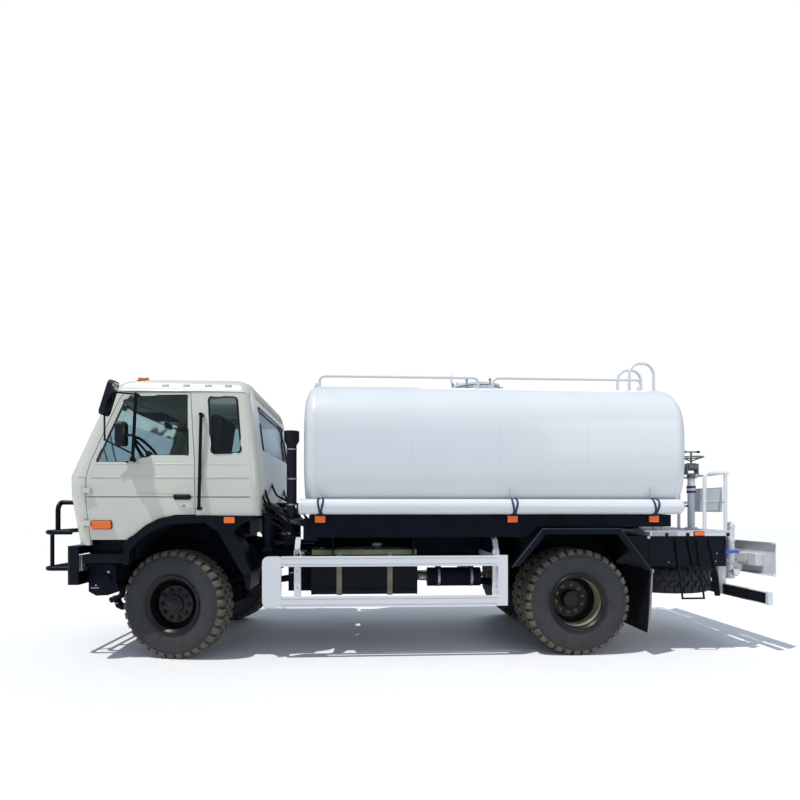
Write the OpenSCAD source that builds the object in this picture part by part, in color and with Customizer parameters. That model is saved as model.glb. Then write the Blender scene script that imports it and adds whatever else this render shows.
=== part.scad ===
// Off-road water tanker: two-axle truck with a flat-fronted cab, a rounded
// box-section water tank and a rear work platform with a water cannon.
// +X is forwards, +Y is the truck's left side, +Z is up, in millimetres.
// The origin is on the ground, midway between the truck's front and rear ends.

/* [Chassis] */
// Distance from the front axle to the rear axle
wheelbase = 3950; // [3600:50:4800]
// Height of the top of the frame rails above the ground
frame_top = 1090; // [1040:10:1140]
// Height of a frame rail
rail_h = 240; // [200:10:280]
// Distance across the outer faces of the frame rails
frame_w = 860; // [800:10:900]
// Width of a rail's flange
rail_flange = 80; // [60:5:100]
// Thickness of a rail's steel
rail_t = 8; // [6:1:12]
// Distance from the front axle forwards to the ends of the rails
frame_front = 885; // [840:5:920]
// Distance from the rear of the deck back to the ends of the rails
frame_tail = 405; // [300:5:600]

/* [Wheels] */
// Outer diameter of a tyre
tyre_d = 1060; // [1000:10:1100]
// Width of a tyre
tyre_w = 280; // [240:5:300]
// Diameter of the seat that a tyre's bead sits on
bead_d = 512; // [500:2:560]
// Diameter of a rim's flange
rim_d = 572; // [560:2:640]
// Distance from the centre line to the middle of a front tyre
front_tyre_y = 940; // [900:10:980]
// Distance from the centre line to the middle of an outer rear tyre
rear_tyre_y = 1005; // [980:5:1040]
// Distance between the middles of twin rear tyres
twin_gap = 316; // [305:1:340]
// Diameter of the circle that the wheel bolts lie on
bolt_circle = 286; // [260:2:300]
// Radius of a front wheel spindle
spindle_r = 40; // [30:1:50]
// Radius of a rear axle end
axle_end_r = 50; // [40:1:60]
// Radial clearance of a wheel hub on its spindle
hub_clear = 0.3; // [0.1:0.1:1]

/* [Steering] */
// Distance from the centre line to a kingpin
kingpin_y = 780; // [740:10:800]
// Radius of a kingpin
kingpin_r = 22; // [18:1:26]
// Length of the steering arms behind the kingpins
arm_l = 230; // [200:10:260]
// Angle that the front wheels are parked at, negative to the right
parked_steer = -12; // [-20:1:20]

/* [Cab] */
// Half of the cab's width at its belt
cab_half = 1186; // [1120:2:1200]
// Distance from the front axle forwards to the cab's nose
cab_nose = 998; // [960:2:1020]
// Distance from the front axle back to the cab's rear wall
cab_back = 806; // [780:2:820]
// Height of the cab roof above the ground
cab_top = 2775; // [2700:5:2850]
// Thickness of the cab's walls and doors
cab_wall = 45; // [35:1:60]
// Gap around each door
door_gap = 6; // [5:0.5:10]
// Thickness of the window glass
glass_t = 6; // [4:1:8]
// How far a door hinge stands out from the cab's side
hinge_out = 12; // [11:1:16]

/* [Tank] */
// Width of the water tank
tank_w = 2410; // [2200:10:2440]
// Height of the water tank
tank_h = 1510; // [1300:10:1600]
// Height of the tank's lowest line above the ground
tank_z = 1290; // [1270:5:1330]
// Squareness of the tank's section, 2 is an ellipse
tank_square = 3.2; // [2.4:0.1:4]
// Distance from the front axle back to the tank's front end
tank_gap = 1190; // [1150:10:1300]
// Distance from the rear axle back to the tank's rear end
tank_overhang = 1140; // [1100:10:1200]
// Diameter of the hose storage tubes
hose_tube_d = 150; // [120:5:160]
// Outer diameter of the manhole ring
hatch_d = 540; // [460:10:600]
// Height of the manhole ring
hatch_h = 100; // [60:5:140]

/* [Rear platform] */
// Length of the deck
deck_l = 840; // [760:10:1000]
// Width of the deck
deck_w = 2200; // [2000:10:2300]
// Height of the deck's top above the ground
deck_top = 1246; // [1230:2:1260]
// Thickness of the deck
deck_t = 55; // [40:5:70]
// Height of the handrails above the deck
handrail_h = 590; // [500:10:600]
// Diameter of the handrail tube
handrail_d = 34; // [26:2:42]
// Diameter of the cannon's riser pipe
riser_d = 74; // [60:2:90]
// Length of the cannon's barrel from its swivel
barrel_l = 620; // [500:10:640]

/* [Front and sides] */
// Diameter of the bull bar's tube
bull_d = 46; // [38:2:60]
// Distance from the front axle forwards to the bull bar's front tube
bull_x = 1310; // [1280:5:1360]
// Length of the fuel tank
fuel_l = 1066; // [800:10:1100]
// Distance from the centre line to the outer face of the side guards
guard_y = 1172; // [1150:2:1190]

/* [Hidden] */
$fn = 64;

// Paint and material colours
CAB = [0.82, 0.83, 0.78];
WHITE = [0.93, 0.94, 0.95];
BLACK = [0.06, 0.07, 0.09];
RUBBER = [0.13, 0.13, 0.14];
GREY = [0.55, 0.57, 0.58];
GLASS = [0.35, 0.45, 0.50, 0.5];
AMBER = [0.95, 0.45, 0.08];

// Small gap between pieces that sit on each other
seat = 0.3;
hub_z = tyre_d / 2;
rail_bottom = frame_top - rail_h;
rail_out = frame_w / 2;
rail_in = rail_out - rail_flange;
rear_x = -wheelbase;
tank_front = -tank_gap;
tank_rear = rear_x - tank_overhang;
tank_mid_z = tank_z + tank_h / 2;
deck_front = tank_rear + 390;
deck_rear = deck_front - deck_l;
frame_rear = deck_rear - frame_tail;
beam_depth = 45;
front_end = bull_x + bull_d / 2;
rear_end = frame_rear - beam_depth;
// The truck is drawn from its front axle, then moved so that the origin is midway along it
truck_x = -(front_end + rear_end) / 2;
belt_z = 1770;
gutter_z = 2600;
arch_z = 1400;

// ---------------------------------------------------------------- helpers

module painted(c) color(c) translate([truck_x, 0, 0]) children();

// A box from its lowest to its highest corner
module block(lo, hi) translate(lo) cube(hi - lo);

// Both sides of the truck
module both_sides() {
    children();
    mirror([0, 1, 0]) children();
}

// A side profile, drawn in x and z, extruded from y0 to y1
module slab(y0, y1) translate([0, y1, 0]) rotate([90, 0, 0]) linear_extrude(y1 - y0) children();

// A front profile, drawn in y and z, extruded from x0 to x1
module across(x0, x1) translate([x0, 0, 0]) rotate([90, 0, 90]) linear_extrude(x1 - x0) children();

function unit(v) = v / norm(v);

// Points of the arc that rounds the corner at p1 between p0 and p2
function corner(p0, p1, p2, r, n) =
    let(a = unit(p0 - p1), b = unit(p2 - p1), half = acos(a * b) / 2)
    let(c = p1 + unit(a + b) * r / sin(half), s = p1 + a * r / tan(half), e = p1 + b * r / tan(half))
    let(a0 = atan2(s[1] - c[1], s[0] - c[0]), a1 = atan2(e[1] - c[1], e[0] - c[0]), d = a1 - a0)
    let(turn = d > 180 ? d - 360 : d < -180 ? d + 360 : d)
    [for (i = [0:n]) c + r * [cos(a0 + turn * i / n), sin(a0 + turn * i / n)]];

// An outline with its corners rounded, by one radius or by one for each corner
function rounded(points, r, n = 5) =
    let(count = len(points))
    [for (i = [0:count - 1])
        let(radius = is_list(r) ? r[i] : r)
        each radius == 0 ? [points[i]]
            : corner(points[(i + count - 1) % count], points[i], points[(i + 1) % count], radius, n)];

function box2(x0, y0, x1, y1) = [[x0, y0], [x1, y0], [x1, y1], [x0, y1]];

// A round bar from p to q
module rod(p, q, d) {
    v = q - p;
    translate(p) rotate([0, acos(v[2] / norm(v)), atan2(v[1], v[0])]) cylinder(h = norm(v), d = d);
}

// A bar of diameter d bent through the points with the given bend radius
module pipe(points, d, bend) {
    last = len(points) - 1;
    dirs = [for (i = [0:last - 1]) unit(points[i + 1] - points[i])];
    turns = [for (i = [1:last - 1]) acos(dirs[i - 1] * dirs[i])];
    cuts = [0, for (t = turns) bend * tan(t / 2), 0];
    for (i = [0:last - 1])
        rod(points[i] + dirs[i] * cuts[i], points[i + 1] - dirs[i] * cuts[i + 1], d);
    for (i = [1:last - 1]) {
        a = dirs[i - 1];
        c = points[i] + unit(dirs[i] - a) * bend / cos(turns[i - 1] / 2);
        u = unit(points[i] - a * cuts[i] - c);
        w = cross(u, a);
        multmatrix([[u[0], a[0], w[0], c[0]], [u[1], a[1], w[1], c[1]], [u[2], a[2], w[2], c[2]],
                    [0, 0, 0, 1]])
            rotate_extrude(angle = turns[i - 1]) translate([bend, 0]) circle(d = d);
    }
}

// Straight bars of diameter d from point to point, with a ball at each corner
module jointed(points, d) {
    for (i = [1:len(points) - 1])
        rod(points[i - 1], points[i], d);
    for (i = [1:len(points) - 2])
        translate(points[i]) sphere(d = d * 1.12);
}

// ---------------------------------------------------------------- chassis

cross_w = 100;
function crossmembers() =
    [frame_front - 90, tank_front - 300, tank_front - 1110, rear_x + 700, rear_x - 560, spare_x, frame_rear + 120];

module rail() slab(rail_in, rail_out) polygon(box2(frame_rear, rail_bottom, frame_front, frame_top));

module rail_hollow()
    block([frame_rear - 1, rail_in - 1, rail_bottom + rail_t],
          [frame_front + 1, rail_out - rail_t, frame_top - rail_t]);

tow_pin_r = 17;
tow_z = rail_bottom - 170;
tow_x = frame_front - 75;

// Two ears below each rail's front end, with a hole across them for a tow pin
module tow_ears() {
    ear = rounded([[tow_x - 120, rail_bottom], [tow_x + 15, rail_bottom], [tow_x + 50, tow_z - 50],
                   [tow_x - 50, tow_z - 50]], [0, 0, 40, 40]);
    for (y = [rail_in, rail_out - 20])
        difference() {
            slab(y, y + 20) polygon(ear);
            translate([tow_x, y - 1, tow_z]) rotate([-90, 0, 0]) cylinder(h = 22, r = tow_pin_r);
        }
}

module chassis_frame() painted(BLACK) {
    both_sides() {
        difference() {
            rail();
            rail_hollow();
        }
        tow_ears();
    }
    for (x = crossmembers())
        block([x - cross_w / 2, -(rail_out - rail_t), rail_bottom + 30],
              [x + cross_w / 2, rail_out - rail_t, frame_top - 30]);
}

spring_w = 76;
spring_y = rail_out - spring_w - 2;
seat_top = 75;

// One leaf spring with its two hangers, drawn about its axle
module leaf_spring(half, stack, eye_z) {
    low = hub_z + seat_top;
    steps = 12;
    function bow(t) = low + (eye_z - low) * t * t;
    under = [for (i = [-steps:steps]) [half * i / steps, bow(i / steps)]];
    over = [for (i = [steps:-1:-steps]) [half * i / steps, bow(i / steps) + 16 + stack * (1 - abs(i / steps))]];
    slab(spring_y, spring_y + spring_w) polygon(concat(under, over));
    for (s = [-1, 1])
        slab(spring_y, spring_y + spring_w)
            polygon([[s * (half - 50), eye_z - 40], [s * (half + 14), eye_z - 40],
                     [s * (half + 60), rail_bottom], [s * (half - 60), rail_bottom]]);
}

module leaf_springs() painted(BLACK) both_sides() {
    leaf_spring(620, 60, rail_bottom - 70);
    translate([rear_x, 0, 0]) leaf_spring(600, 90, rail_bottom - 60);
}

module spring_pads() for (s = [-1, 1])
    block([-90, s > 0 ? spring_y - 4 : -(spring_y + spring_w + 4), hub_z + 30],
          [90, s > 0 ? spring_y + spring_w + 4 : -(spring_y - 4), hub_z + seat_top]);

diff_r = 165;
rear_diff_r = 200;
shaft_z = hub_z + 30;
yoke_gap = 110;
yoke_t = 32;

// The end of the front axle: two lugs with holes for the kingpin
module yoke() difference() {
    union() {
        for (z = [hub_z + yoke_gap, hub_z - yoke_gap - yoke_t])
            block([-42, kingpin_y - 96, z], [42, kingpin_y + 42, z + yoke_t]);
        block([-42, kingpin_y - 126, hub_z - yoke_gap - yoke_t],
              [42, kingpin_y - 96, hub_z + yoke_gap + yoke_t]);
    }
    translate([0, kingpin_y, hub_z - yoke_gap - yoke_t - 1])
        cylinder(h = 2 * (yoke_gap + yoke_t + 1), r = kingpin_r + hub_clear);
}

module front_axle() painted(BLACK) {
    rod([0, -(kingpin_y - 120), hub_z], [0, kingpin_y - 120, hub_z], 120);
    translate([0, 0, hub_z]) sphere(diff_r);
    rod([-100, 0, shaft_z], [-250, 0, shaft_z], 110);
    spring_pads();
    both_sides() yoke();
}

// Turns a left front wheel and its knuckle to the parked angle
module steered(side) translate([0, side * kingpin_y, 0]) rotate([0, 0, parked_steer])
    translate([0, -side * kingpin_y, 0]) children();

arm_z = hub_z - yoke_gap - yoke_t - 36;
arm_t = 24;
tie_d = 36;
ball_r = 12;

module knuckle(side) steered(side) mirror([0, side > 0 ? 0 : 1, 0]) {
    block([-55, kingpin_y - 50, hub_z - yoke_gap + 6], [55, kingpin_y + 62, hub_z + yoke_gap - 6]);
    for (s = [-1, 1])
        translate([0, kingpin_y, hub_z + s * (yoke_gap - 7)])
            mirror([0, 0, s > 0 ? 0 : 1]) cylinder(h = hub_z - yoke_gap - arm_z + 7, r = kingpin_r);
    rod([0, kingpin_y + 60, hub_z], [0, front_tyre_y + 40, hub_z], 2 * spindle_r);
    // Steering arm, straight back from the foot of the kingpin
    translate([0, kingpin_y, arm_z]) cylinder(h = arm_t, r = kingpin_r + 10);
    translate([-arm_l, kingpin_y, arm_z]) cylinder(h = arm_t, r = 20);
    block([-arm_l, kingpin_y - 20, arm_z], [0, kingpin_y + 20, arm_z + arm_t]);
    translate([-arm_l, kingpin_y, arm_z - 44]) cylinder(h = 45, r = ball_r);
}

module knuckle_left() painted(BLACK) knuckle(1);
module knuckle_right() painted(BLACK) knuckle(-1);

module tie_rod() painted(BLACK) {
    x = -arm_l * cos(parked_steer);
    dy = -arm_l * sin(parked_steer);
    z = arm_z - 24;
    difference() {
        union() {
            rod([x, dy - kingpin_y + 19, z], [x, dy + kingpin_y - 19, z], tie_d);
            for (s = [-1, 1])
                translate([x, dy + s * kingpin_y, z - 18]) cylinder(h = 36, r = 24);
        }
        for (s = [-1, 1])
            translate([x, dy + s * kingpin_y, z - 60]) cylinder(h = 120, r = ball_r + 0.5);
    }
}

// ---------------------------------------------------------------- wheels

// A tyre on its axis, which is z
module tyre() rotate_extrude($fn = 96)
    polygon(rounded([[bead_d / 2 + seat, -tyre_w * 0.37], [rim_d / 2 + 2, -tyre_w * 0.43],
                     [tyre_d * 0.42, -tyre_w / 2], [tyre_d * 0.475, -tyre_w * 0.47],
                     [tyre_d / 2, -tyre_w * 0.40], [tyre_d / 2, tyre_w * 0.40],
                     [tyre_d * 0.475, tyre_w * 0.47], [tyre_d * 0.42, tyre_w / 2],
                     [rim_d / 2 + 2, tyre_w * 0.43], [bead_d / 2 + seat, tyre_w * 0.37]],
                    [4, 4, 50, 20, 10, 10, 20, 50, 4, 4], 4));

// The ring that carries the tyre
module rim_ring() rotate_extrude($fn = 96) {
    half = tyre_w * 0.37;
    r = bead_d / 2;
    polygon([[r - 14, -half - 2], [r, -half - 2 * seat], [r, half + 2 * seat], [r - 14, half + 2]]);
    for (s = [-1, 1])
        polygon([[r - 14, s * (half + 2)], [r, s * (half + 2 * seat)], [rim_d / 2 - 4, s * (tyre_w * 0.43 + 2)],
                 [rim_d / 2, s * (tyre_w * 0.43 + 10)], [rim_d / 2 - 8, s * (tyre_w * 0.43 + 14)],
                 [r - 14, s * (half + 16)]]);
}

// A wheel disc, dished between the hub face at z0 and the ring at z1
module wheel_disc(z0, z1) rotate_extrude($fn = 96)
    polygon([[bolt_circle / 2 - 60, z0 - 7], [bolt_circle / 2 + 30, z0 - 7], [bead_d / 2 - 13, z1 - 7],
             [bead_d / 2 - 13, z1 + 7], [bolt_circle / 2 + 24, z0 + 7], [bolt_circle / 2 - 60, z0 + 7]]);

// A hub with a bore for its spindle
module hub(z0, z1, r_out, r_bore) translate([0, 0, z0]) difference() {
    cylinder(h = z1 - z0, r = r_out);
    translate([0, 0, -1]) cylinder(h = z1 - z0 - 19, r = r_bore);
}

// Wheel nuts on the bolt circle, between z0 and z1
module nuts(z0, z1, count = 10) for (i = [0:count - 1])
    rotate([0, 0, 360 / count * i]) translate([bolt_circle / 2, 0, z0]) cylinder(h = z1 - z0, r = 15, $fn = 6);

// Turns a wheel's own axis, z, outwards along the truck's y
module on_axle(side, x, y) translate([x, side * y, hub_z]) rotate([-side * 90, 0, 0]) children();

module front_rim() {
    rim_ring();
    difference() {
        wheel_disc(58, 20);
        for (i = [0:9])
            rotate([0, 0, 36 * i + 18]) translate([bead_d / 2 - 42, 0, 0]) cylinder(h = 120, r = 17, center = true);
    }
    hub(-60, 92, bolt_circle / 2 - 50, spindle_r + hub_clear);
    nuts(64, 88);
}

module rear_rim_pair() {
    for (s = [-1, 1])
        translate([0, 0, s * twin_gap / 2]) rim_ring();
    wheel_disc(9, twin_gap / 2 - 70);
    wheel_disc(-9, -twin_gap / 2 + 70);
    hub(-130, 110, bolt_circle / 2 - 50, axle_end_r + hub_clear);
    nuts(15, 40);
}

module front_wheel(side) steered(side) on_axle(side, 0, front_tyre_y) children();
module rear_wheel(side) on_axle(side, rear_x, rear_tyre_y - twin_gap / 2) children();
module twin_tyres() for (s = [-1, 1]) translate([0, 0, s * twin_gap / 2]) tyre();

module front_tyre_left() painted(RUBBER) front_wheel(1) tyre();
module front_tyre_right() painted(RUBBER) front_wheel(-1) tyre();
module front_rim_left() painted(BLACK) front_wheel(1) front_rim();
module front_rim_right() painted(BLACK) front_wheel(-1) front_rim();
module rear_tyres_left() painted(RUBBER) rear_wheel(1) twin_tyres();
module rear_tyres_right() painted(RUBBER) rear_wheel(-1) twin_tyres();
module rear_rims_left() painted(BLACK) rear_wheel(1) rear_rim_pair();
module rear_rims_right() painted(BLACK) rear_wheel(-1) rear_rim_pair();

module rear_axle() painted(BLACK) translate([rear_x, 0, 0]) {
    y_end = rear_tyre_y - twin_gap / 2;
    rod([0, -(y_end - 170), hub_z], [0, y_end - 170, hub_z], 150);
    translate([0, 0, hub_z]) sphere(rear_diff_r);
    rod([100, 0, shaft_z], [270, 0, shaft_z], 120);
    both_sides() rod([0, y_end - 171, hub_z], [0, y_end + 80, hub_z], 2 * axle_end_r);
    spring_pads();
}

module powertrain() painted(GREY) {
    // Engine, radiator, gearbox and transfer box, each a plain block
    block([-480, -rail_in + 30, 790], [580, rail_in - 30, 1570]);
    block([650, -rail_in + 20, 880], [730, rail_in - 20, 1150]);
    slab(-190, 190) polygon([[-480, 800], [-480, 1150], [-900, 1060], [-1110, 1040], [-1110, 840], [-700, 800]]);
    block([-1650, -210, 640], [-1330, 210, 870]);
    // Propeller shafts
    rod([-1110, 0, 900], [-1330, 0, 800], 80);
    rod([-262, 0, shaft_z], [-1330, 0, 720], 76);
    rod([-1650, 0, 760], [rear_x + 282, 0, shaft_z], 84);
}

// ---------------------------------------------------------------- cab

// Height, front and rear from the front axle, and half width of the cab at that height
cab_stations = [
    [1120, cab_nose - 80, -cab_back + 6, cab_half - 26],
    [1190, cab_nose - 66, -cab_back + 4, cab_half - 20],
    [1590, cab_nose - 3, -cab_back, cab_half - 4],
    [belt_z, cab_nose, -cab_back + 2, cab_half],
    [2190, cab_nose - 160, -cab_back + 54, cab_half - 48],
    [gutter_z, cab_nose - 322, -cab_back + 110, cab_half - 108],
    [cab_top - 103, cab_nose - 360, -cab_back + 128, cab_half - 136],
    [cab_top - 57, cab_nose - 440, -cab_back + 166, cab_half - 181],
    [cab_top - 30, cab_nose - 570, -cab_back + 206, cab_half - 246],
    [cab_top - 10, cab_nose - 750, -cab_back + 266, cab_half - 366],
    [cab_top, cab_nose - 990, -cab_back + 356, cab_half - 536]
];
nose_r = 170;
back_r = 85;
bow = 58;

// The cab's outline seen from above at one station, drawn in by inset
function cab_outline(s, inset) =
    let(f = s[1] - inset, b = s[2] + inset, w = s[3] - inset, mid = 350)
    rounded([[b, -w], [f, -w], [f + bow, -mid], [f + bow, mid], [f, w], [b, w]],
            [back_r, nose_r - inset, 900, 900, nose_r - inset, back_r], 6);

// The cab's outer form, or its inner form where inset is the wall
module cab_form(inset = 0) hull() for (s = cab_stations)
    translate([0, 0, s[0] - (s[0] > gutter_z ? inset : 0)]) linear_extrude(0.01)
        polygon(cab_outline(s, inset));

module cab_shell() difference() {
    cab_form();
    cab_form(cab_wall);
    block([-2000, -2000, 1000], [2000, 2000, cab_stations[0][0] + 0.1]);
}

// Half of the cab's width at height z
function cab_y(z) = lookup(z, [for (s = cab_stations) [s[0], s[3]]]);

// The door's outline seen from the side
door_front = [[780, 1167], [815, 1504], [812, 1760], [779, 1910], [692, 2136], [624, 2321], [544, 2527],
              [492, gutter_z]];
door_rear = [[-130, gutter_z], [-199, 1898], [-205, arch_z + 6]];
door_arch = [[-11, arch_z + 3], [141, 1368], [255, 1310], [350, 1233], [425, 1167]];
// The line where the side panels meet the back panel
back_line = [[-762, arch_z], [-652, gutter_z]];

function side_normal(a, b) = let(d = unit(b - a)) [-d[1], d[0]];
// An outline drawn in by g along each of its edges
function inset_points(p, g) =
    let(n = len(p))
    [for (i = [0:n - 1])
        let(a = side_normal(p[(i + n - 1) % n], p[i]), b = side_normal(p[i], p[(i + 1) % n]))
        p[i] + unit(a + b) * g / cos(acos(min(1, a * b)) / 2)];

door_window = rounded([[722, 1912], [497, 2511], [437, 2556], [-101, 2570], [-131, 1978], [215, 1978],
                       [430, 1912]], [12, 60, 60, 20, 20, 60, 60]);
rear_side_window = rounded([[-299, 2561], [-574, 2555], [-632, 2006], [-347, 1997]], 45);
windscreen = rounded([[-1030, 1862], [1030, 1862], [945, 2560], [-945, 2560]], 70);
back_window = rounded([[-800, 2070], [800, 2070], [770, 2525], [-770, 2525]], 50);

module windows() {
    slab(-1300, 1300) polygon(door_window);
    slab(-1300, 1300) polygon(rear_side_window);
    across(300, 1200) polygon(windscreen);
    across(-1000, -500) polygon(back_window);
}

module cab_panel() intersection() {
    difference() {
        cab_shell();
        windows();
    }
    children();
}

hinge_x = 822;
hinge_y = cab_half + hinge_out;
hinge_r = 10;
hinge_pin_r = 5.7;
hinge_half = 26;
hinge_heights = [1330, 1640];

// The fixed half of a door hinge: two lugs and their pin
module hinge_lugs(z) {
    for (s = [-1, 1]) {
        middle = z + s * (hinge_half + 8);
        translate([hinge_x, hinge_y, middle - 6]) cylinder(h = 12, r = hinge_r);
        block([hinge_x, hinge_y - 40, middle - 6], [hinge_x + 30, hinge_y + hinge_r, middle + 6]);
    }
    translate([hinge_x, hinge_y, z - hinge_half - 3]) cylinder(h = 2 * hinge_half + 6, r = hinge_pin_r);
}

// The door's half of a hinge: a knuckle on the pin and the leaf that carries it
module hinge_knuckle(z) difference() {
    union() {
        translate([hinge_x, hinge_y, z - hinge_half]) cylinder(h = 2 * hinge_half, r = hinge_r);
        block([hinge_x - 60, hinge_y - 5, z - hinge_half], [hinge_x, hinge_y + hinge_r, z + hinge_half]);
        block([hinge_x - 60, hinge_y - 45, z - hinge_half], [hinge_x - 38, hinge_y, z + hinge_half]);
    }
    translate([hinge_x, hinge_y, z - hinge_half - 1]) cylinder(h = 2 * hinge_half + 2, r = hinge_pin_r + 0.3);
}

module cab_front_panel() painted(CAB) {
    cab_panel() slab(-1300, 1300)
        polygon(concat(door_front, [[1300, gutter_z], [1300, 1100], [780, 1100]]));
    both_sides() for (z = hinge_heights) hinge_lugs(z);
}

module cab_roof() painted(CAB) cab_panel() block([-1000, -1300, gutter_z], [1300, 1300, 3000]);

module cab_back_panel() painted(CAB) cab_panel() slab(-1300, 1300)
    polygon(concat(back_line, [[-1000, gutter_z], [-1000, arch_z]]));

module cab_sides() painted(CAB) cab_panel() slab(-1300, 1300)
    polygon(concat([door_rear[2], door_rear[1], door_rear[0]], [back_line[1], back_line[0]]));

module door(side) painted(CAB) mirror([0, side > 0 ? 0 : 1, 0]) {
    cab_panel() slab(700, 1300)
        polygon(inset_points(concat(door_front, door_rear, door_arch), door_gap));
    for (z = hinge_heights) hinge_knuckle(z);
}

module door_left() door(1);
module door_right() door(-1);

// Glass in the middle of the wall
module glass_sheet() difference() {
    cab_form(cab_wall / 2 - glass_t / 2);
    cab_form(cab_wall / 2 + glass_t / 2);
}

module door_glass(side) painted(GLASS) intersection() {
    glass_sheet();
    mirror([0, side > 0 ? 0 : 1, 0]) slab(700, 1300) polygon(door_window);
}

module door_glass_left() door_glass(1);
module door_glass_right() door_glass(-1);

module cab_glass() painted(GLASS) intersection() {
    glass_sheet();
    union() {
        slab(700, 1300) polygon(rear_side_window);
        slab(-1300, -700) polygon(rear_side_window);
        across(300, 1200) polygon(windscreen);
        across(-1000, -500) polygon(back_window);
    }
}

floor_t = 30;
floor_half = cab_half - 74;
tunnel_half = rail_in + 20;
tunnel_top = 1640;
tunnel_front = 640;
tunnel_back = -540;
low_floor = 1190;

// The floor's side profile: low at the front, then over the wheel
floor_line = [[940, low_floor], [435, low_floor], [362, 1262], [262, 1335], [146, 1380], [-11, arch_z], [-798, arch_z]];

module cab_floor() painted(CAB) {
    under = [for (i = [len(floor_line) - 1:-1:0]) floor_line[i] - [0, floor_t]];
    difference() {
        union() {
            intersection() {
                slab(-floor_half, floor_half) polygon(concat(floor_line, under));
                union() {
                    cab_form(cab_wall + seat);
                    block([-1000, -1300, 1100], [430, 1300, arch_z]);
                }
            }
            block([tunnel_back, -tunnel_half, low_floor], [tunnel_front, tunnel_half, tunnel_top]);
        }
        block([tunnel_back + 20, -tunnel_half + 20, 1000], [tunnel_front - 20, tunnel_half - 20, tunnel_top - 20]);
    }
    // Mounts down to the frame rails
    both_sides() {
        block([700, rail_in, frame_top], [780, rail_out, low_floor - floor_t]);
        block([-790, rail_in, frame_top], [-700, rail_out, arch_z - floor_t]);
    }
}

module seat_at(y, w) {
    translate([0, y, 0]) {
        block([-300, -w / 2, arch_z], [160, w / 2, arch_z + 240]);
        block([-320, -w / 2, arch_z + 240], [200, w / 2, arch_z + 380]);
        slab(-w / 2, w / 2)
            polygon(rounded([[-320, arch_z + 380.5], [-170, arch_z + 380.5], [-300, arch_z + 1000],
                             [-410, arch_z + 1000]], [5, 20, 40, 40]));
    }
}

module seats() painted(GREY) {
    seat_at(720, 520);
    seat_at(-720, 520);
}

wheel_r = 235;

column_low = [700, 700, 1800];
column_high = [400, 700, 2010];
column_tilt = atan2(column_high[0] - column_low[0], column_high[2] - column_low[2]);

module dashboard() painted(BLACK) {
    intersection() {
        slab(-1060, 1060)
            polygon(rounded([[tunnel_front + 10, 1660], [tunnel_front + 10, 1830], [730, 1880], [1100, 1840],
                             [1100, 1660]], [30, 40, 40, 20, 20]));
        cab_form(cab_wall + seat);
    }
    // Steering column and hand wheel
    rod(column_low, column_high, 70);
    translate(column_high) rotate([0, column_tilt, 0]) {
        rotate_extrude() translate([wheel_r, 0]) circle(d = 30);
        for (a = [30, 150, 270])
            rotate([0, 0, a]) rod([0, 0, 0], [wheel_r, 0, 0], 22);
        translate([0, 0, -20]) cylinder(h = 40, r = 60);
    }
}

handle_x = -252;

module grab_handles() painted(BLACK) both_sides() {
    ends = [for (z = [1470, 2370]) [handle_x, cab_y(z) + 52, z]];
    rod(ends[0], ends[1], 30);
    for (p = ends)
        rod(p - [0, 49, 0], p + [0, 16, 0], 36);
}

flare_out = 1204;

// Wheel-arch flares with the mudguard panels behind the front wheels
module wheel_arches() painted(BLACK) both_sides() {
    edge = [[428, 1160], [350, 1226], [255, 1303], [141, 1361], [-11, arch_z - 4], [-780, arch_z - 4]];
    slab(floor_half, flare_out)
        polygon(concat([[454, 938], [454, 1160]], edge,
                       [[-640, 1320], [-560, 1240], [-738, 860], [-660, 830], [-420, 1250], [-300, 1330],
                        [-11, 1325], [120, 1290], [220, 1240], [320, 1160], [400, 1060], [408, 938]]));
}

step_out = 1180;

module cab_steps() painted(GREY) both_sides() {
    block([460, 960, 950], [845, step_out, 1032]);
    block([460, 960, 1032], [845, 985, low_floor - floor_t]);
}

// Both mirrors of one door with their post and arms
module mirrors(side) painted(BLACK) mirror([0, side > 0 ? 0 : 1, 0]) {
    low = [366, cab_y(1925) + 46, 1925];
    high = [366, cab_y(2560) + 60, 2560];
    main_at = [543, 1300, 2490];
    wide_at = [434, 1290, 2160];
    rod(low - [0, 43, 0], low + [0, 12, 0], 34);
    rod(high - [0, 57, 0], high + [0, 12, 0], 34);
    rod(low, high, 20);
    // Main mirror on its upper and lower arms
    rod(high, main_at + [-12, 0, 60], 16);
    translate(main_at) rotate([0, -17, 0]) rotate([0, 90, 0]) translate([0, 0, -20]) linear_extrude(40)
        polygon(rounded(box2(-168, -74, 168, 74), 44));
    elbow = [600, 1262, 2110];
    rod(main_at + [46, -10, -140], elbow, 16);
    translate(elbow) sphere(d = 22);
    rod(elbow, [366, low[1], 1985], 16);
    // Wide angle mirror
    translate(wide_at) rotate([0, 90, 0]) translate([0, 0, -31]) linear_extrude(62)
        polygon(rounded(box2(-112, -70, 112, 70), 40));
    rod(wide_at + [0, -20, 0], [366, cab_y(2160) + 49, 2160], 22);
}

module mirrors_left() mirrors(1);
module mirrors_right() mirrors(-1);

// ---------------------------------------------------------------- front

bumper_half = 1170;
bumper_low = 745;
bumper_high = 1112;
bumper_t = 10;
bumper_front = 1000;
lamp_w = 330;
lamp_h = 170;
lamp_y = 820;
lamp_z = 930;

function bumper_outline(t) =
    rounded([[frame_front, -bumper_half + t], [bumper_front - t, -bumper_half + t],
             [bumper_front + 50 - t, -500], [bumper_front + 50 - t, 500],
             [bumper_front - t, bumper_half - t], [frame_front, bumper_half - t]], [0, 50 - t, 500, 500, 50 - t, 0]);

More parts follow.
